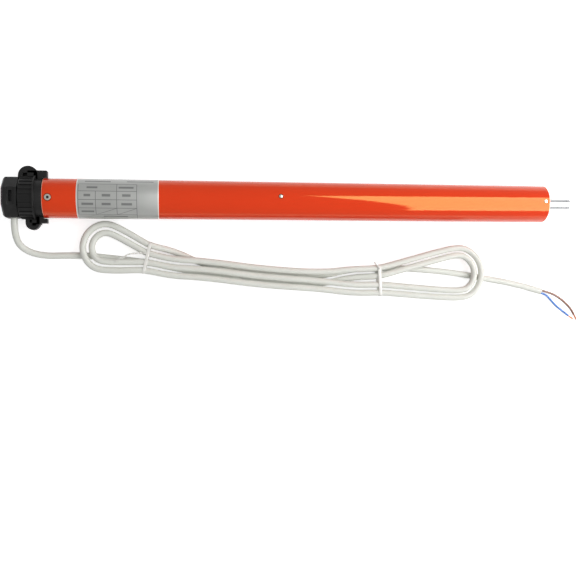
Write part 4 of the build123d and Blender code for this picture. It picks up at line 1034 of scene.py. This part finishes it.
def tie_twist(bm, route):
    """Two ribbon ends twisted together along a short route."""
    places, ways = follow(scaled(route), 24)
    rings = []
    for n, (place, way) in enumerate(zip(places, ways)):
        level, up = square_to(way)
        ring = []
        for k in range(twist_steps):
            angle = 2 * math.pi * k / twist_steps
            lobe = 1 if math.cos(angle) > 0 else -1
            across = lobe * twist_r + twist_r * math.cos(angle)
            flat = Vector((across, twist_r * math.sin(angle) * twist_flat))
            flat = Matrix.Rotation(n * twist_turn, 2) @ flat
            ring.append(place + (level * flat.x + up * flat.y) * MM)
        rings.append(ring)
    loft(bm, rings)


bm = bmesh.new()
for x, route in tie_twists.items():
    tie_band(bm, x)
    tie_twist(bm, route)
dress(piece_from("twist_ties", bm, 50), "tie_plastic", "housing", "cable_ties")
print("ties at", list(tie_twists), "mm")

# %% [markdown]
# ## Copper strands
# Where the cores are stripped, a bunch of fine copper strands shows, splayed a little by handling.

# %% Copper
strand_r, strand_length, strand_count = 0.2, 6.5, 7
bunch_r, bunch_splay, bunch_lay, strand_in_core = 0.38, 0.5, 0.9, 0.5
strand_sides, strand_rings, strand_uneven = 8, 6, 0.25


def copper_strand(tip, way, number):
    """Rings of one strand. The first strand runs straight, and the others lie round it and splay."""
    level, up = square_to(way)
    start = 2 * math.pi * number / (strand_count - 1)
    out = 0.0 if number == 0 else bunch_r
    length = strand_length - strand_uneven * (number % 3)
    sides = [2 * math.pi * k / strand_sides for k in range(strand_sides)]
    rings = []
    for step in range(strand_rings):
        t = step / (strand_rings - 1)
        lean = start + bunch_lay * t
        middle = tip + way * ((t * length - strand_in_core) * MM)
        middle += (level * math.cos(lean) + up * math.sin(lean)) * out * (1 + bunch_splay * t) * MM
        rings.append([middle + (level * math.cos(a) + up * math.sin(a)) * strand_r * MM for a in sides])
    return rings


for colour, (_, route) in cores.items():
    core_way = (route[-1] - route[-2]).normalized()
    bm = bmesh.new()
    for number in range(strand_count):
        loft(bm, copper_strand(route[-1], core_way, number))
    dress(piece_from(f"copper_{colour}", bm), "copper", "housing")
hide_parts("core_ends")
print("copper:", strand_count, "strands at each core")

# %% Core routes measured
for colour, (core, route) in cores.items():
    spline_length(route)

# %% [markdown]
# ## Studio
# The picture has a pure white ground and hardly any shadow. One large softbox hangs beyond the
# right end, and its corner and two edges are what the long pale highlight on the tube shows. A
# second lamp just below it lights reflections alone, so that the highlight is as bright as in the
# picture while colours stay as written. A broad overhead light and a pale world fill the rest.


# %% Floor
def seen_ray(nodes):
    """1 for a ray from the camera, a mirror or a pane, and 0 for one that only carries light."""
    camera_ray, glossy_ray, through_ray = (nodes.add("ShaderNodeLightPath", out=n) for n in (0, 3, 6))
    return camera_ray.either(glossy_ray).either(through_ray)


floor_half, floor_grey, floor_lift = 4.0, 0.8, 0.62
floor_bm = bmesh.new()
bmesh.ops.create_grid(floor_bm, x_segments=1, y_segments=1, size=floor_half)
floor_mesh = bpy.data.meshes.new("floor")
floor_bm.to_mesh(floor_mesh)
floor_bm.free()
floor = added("floor", floor_mesh)
paper = bpy.data.materials.new("paper")
paper.use_nodes = True
nodes = Nodes(paper.node_tree)
sheet = nodes.add("ShaderNodeBsdfDiffuse", None, {"Color": (floor_grey, floor_grey, floor_grey, 1.0)})
lift = nodes.add("ShaderNodeEmission", None, {"Strength": seen_ray(nodes) * floor_lift})
both = nodes.add("ShaderNodeAddShader", None, {0: sheet, 1: lift})
nodes.add("ShaderNodeOutputMaterial", None, {"Surface": both})
floor.data.materials.append(paper)
print("floor", 2 * floor_half, "m wide, lifted by", floor_lift)

# %% World
world = bpy.data.worlds.new("studio")
world.use_nodes = True
bpy.context.scene.world = world
nodes = Nodes(world.node_tree)
ambient = 0.42
glow = nodes.add("ShaderNodeBackground", None, {"Strength": ambient + seen_ray(nodes) * (1.0 - ambient)})
nodes.add("ShaderNodeOutputWorld", None, {"Surface": glow})
print("ambient light", ambient)


# %% Lamps
def lamp(name, corner, turn, size, level, glossy=True, diffuse=True):
    """A level rectangular light from one corner, its sides' turn about Z, and its radiance."""
    light = bpy.data.lights.new(name, "AREA")
    light.shape = "RECTANGLE"
    light.size, light.size_y = size
    light.energy = level * math.pi * size[0] * size[1]
    lamp_object = added(name, light)
    first = Vector((math.cos(turn), math.sin(turn), 0))
    second = Vector((math.sin(turn), -math.cos(turn), 0))
    lamp_object.location = Vector(corner) + first * size[0] / 2 + second * size[1] / 2
    lamp_object.rotation_euler = (0, 0, turn)
    lamp_object.visible_glossy = glossy
    lamp_object.visible_diffuse = diffuse
    print(f"{name}: {light.energy:.0f} W over {size[0]} by {size[1]} m")


softbox_turn, softbox_size = math.radians(16.4), (1.2, 2.0)
softbox_corner, glint_corner, overhead_corner = (0.29, 0.52, 1.02), (0.29, 0.52, 1.0), (-0.9, 0.9, 1.7)
softbox_level, glint_level, overhead_level = 3.2, 6.5, 0.75
# In one plane, two lamps hide each other from reflections, so the second hangs 20 mm lower.
lamp("softbox", softbox_corner, softbox_turn, softbox_size, softbox_level)
lamp("softbox_glint", glint_corner, softbox_turn, softbox_size, glint_level, diffuse=False)
lamp("overhead", overhead_corner, 0.0, (1.8, 1.8), overhead_level, glossy=False)
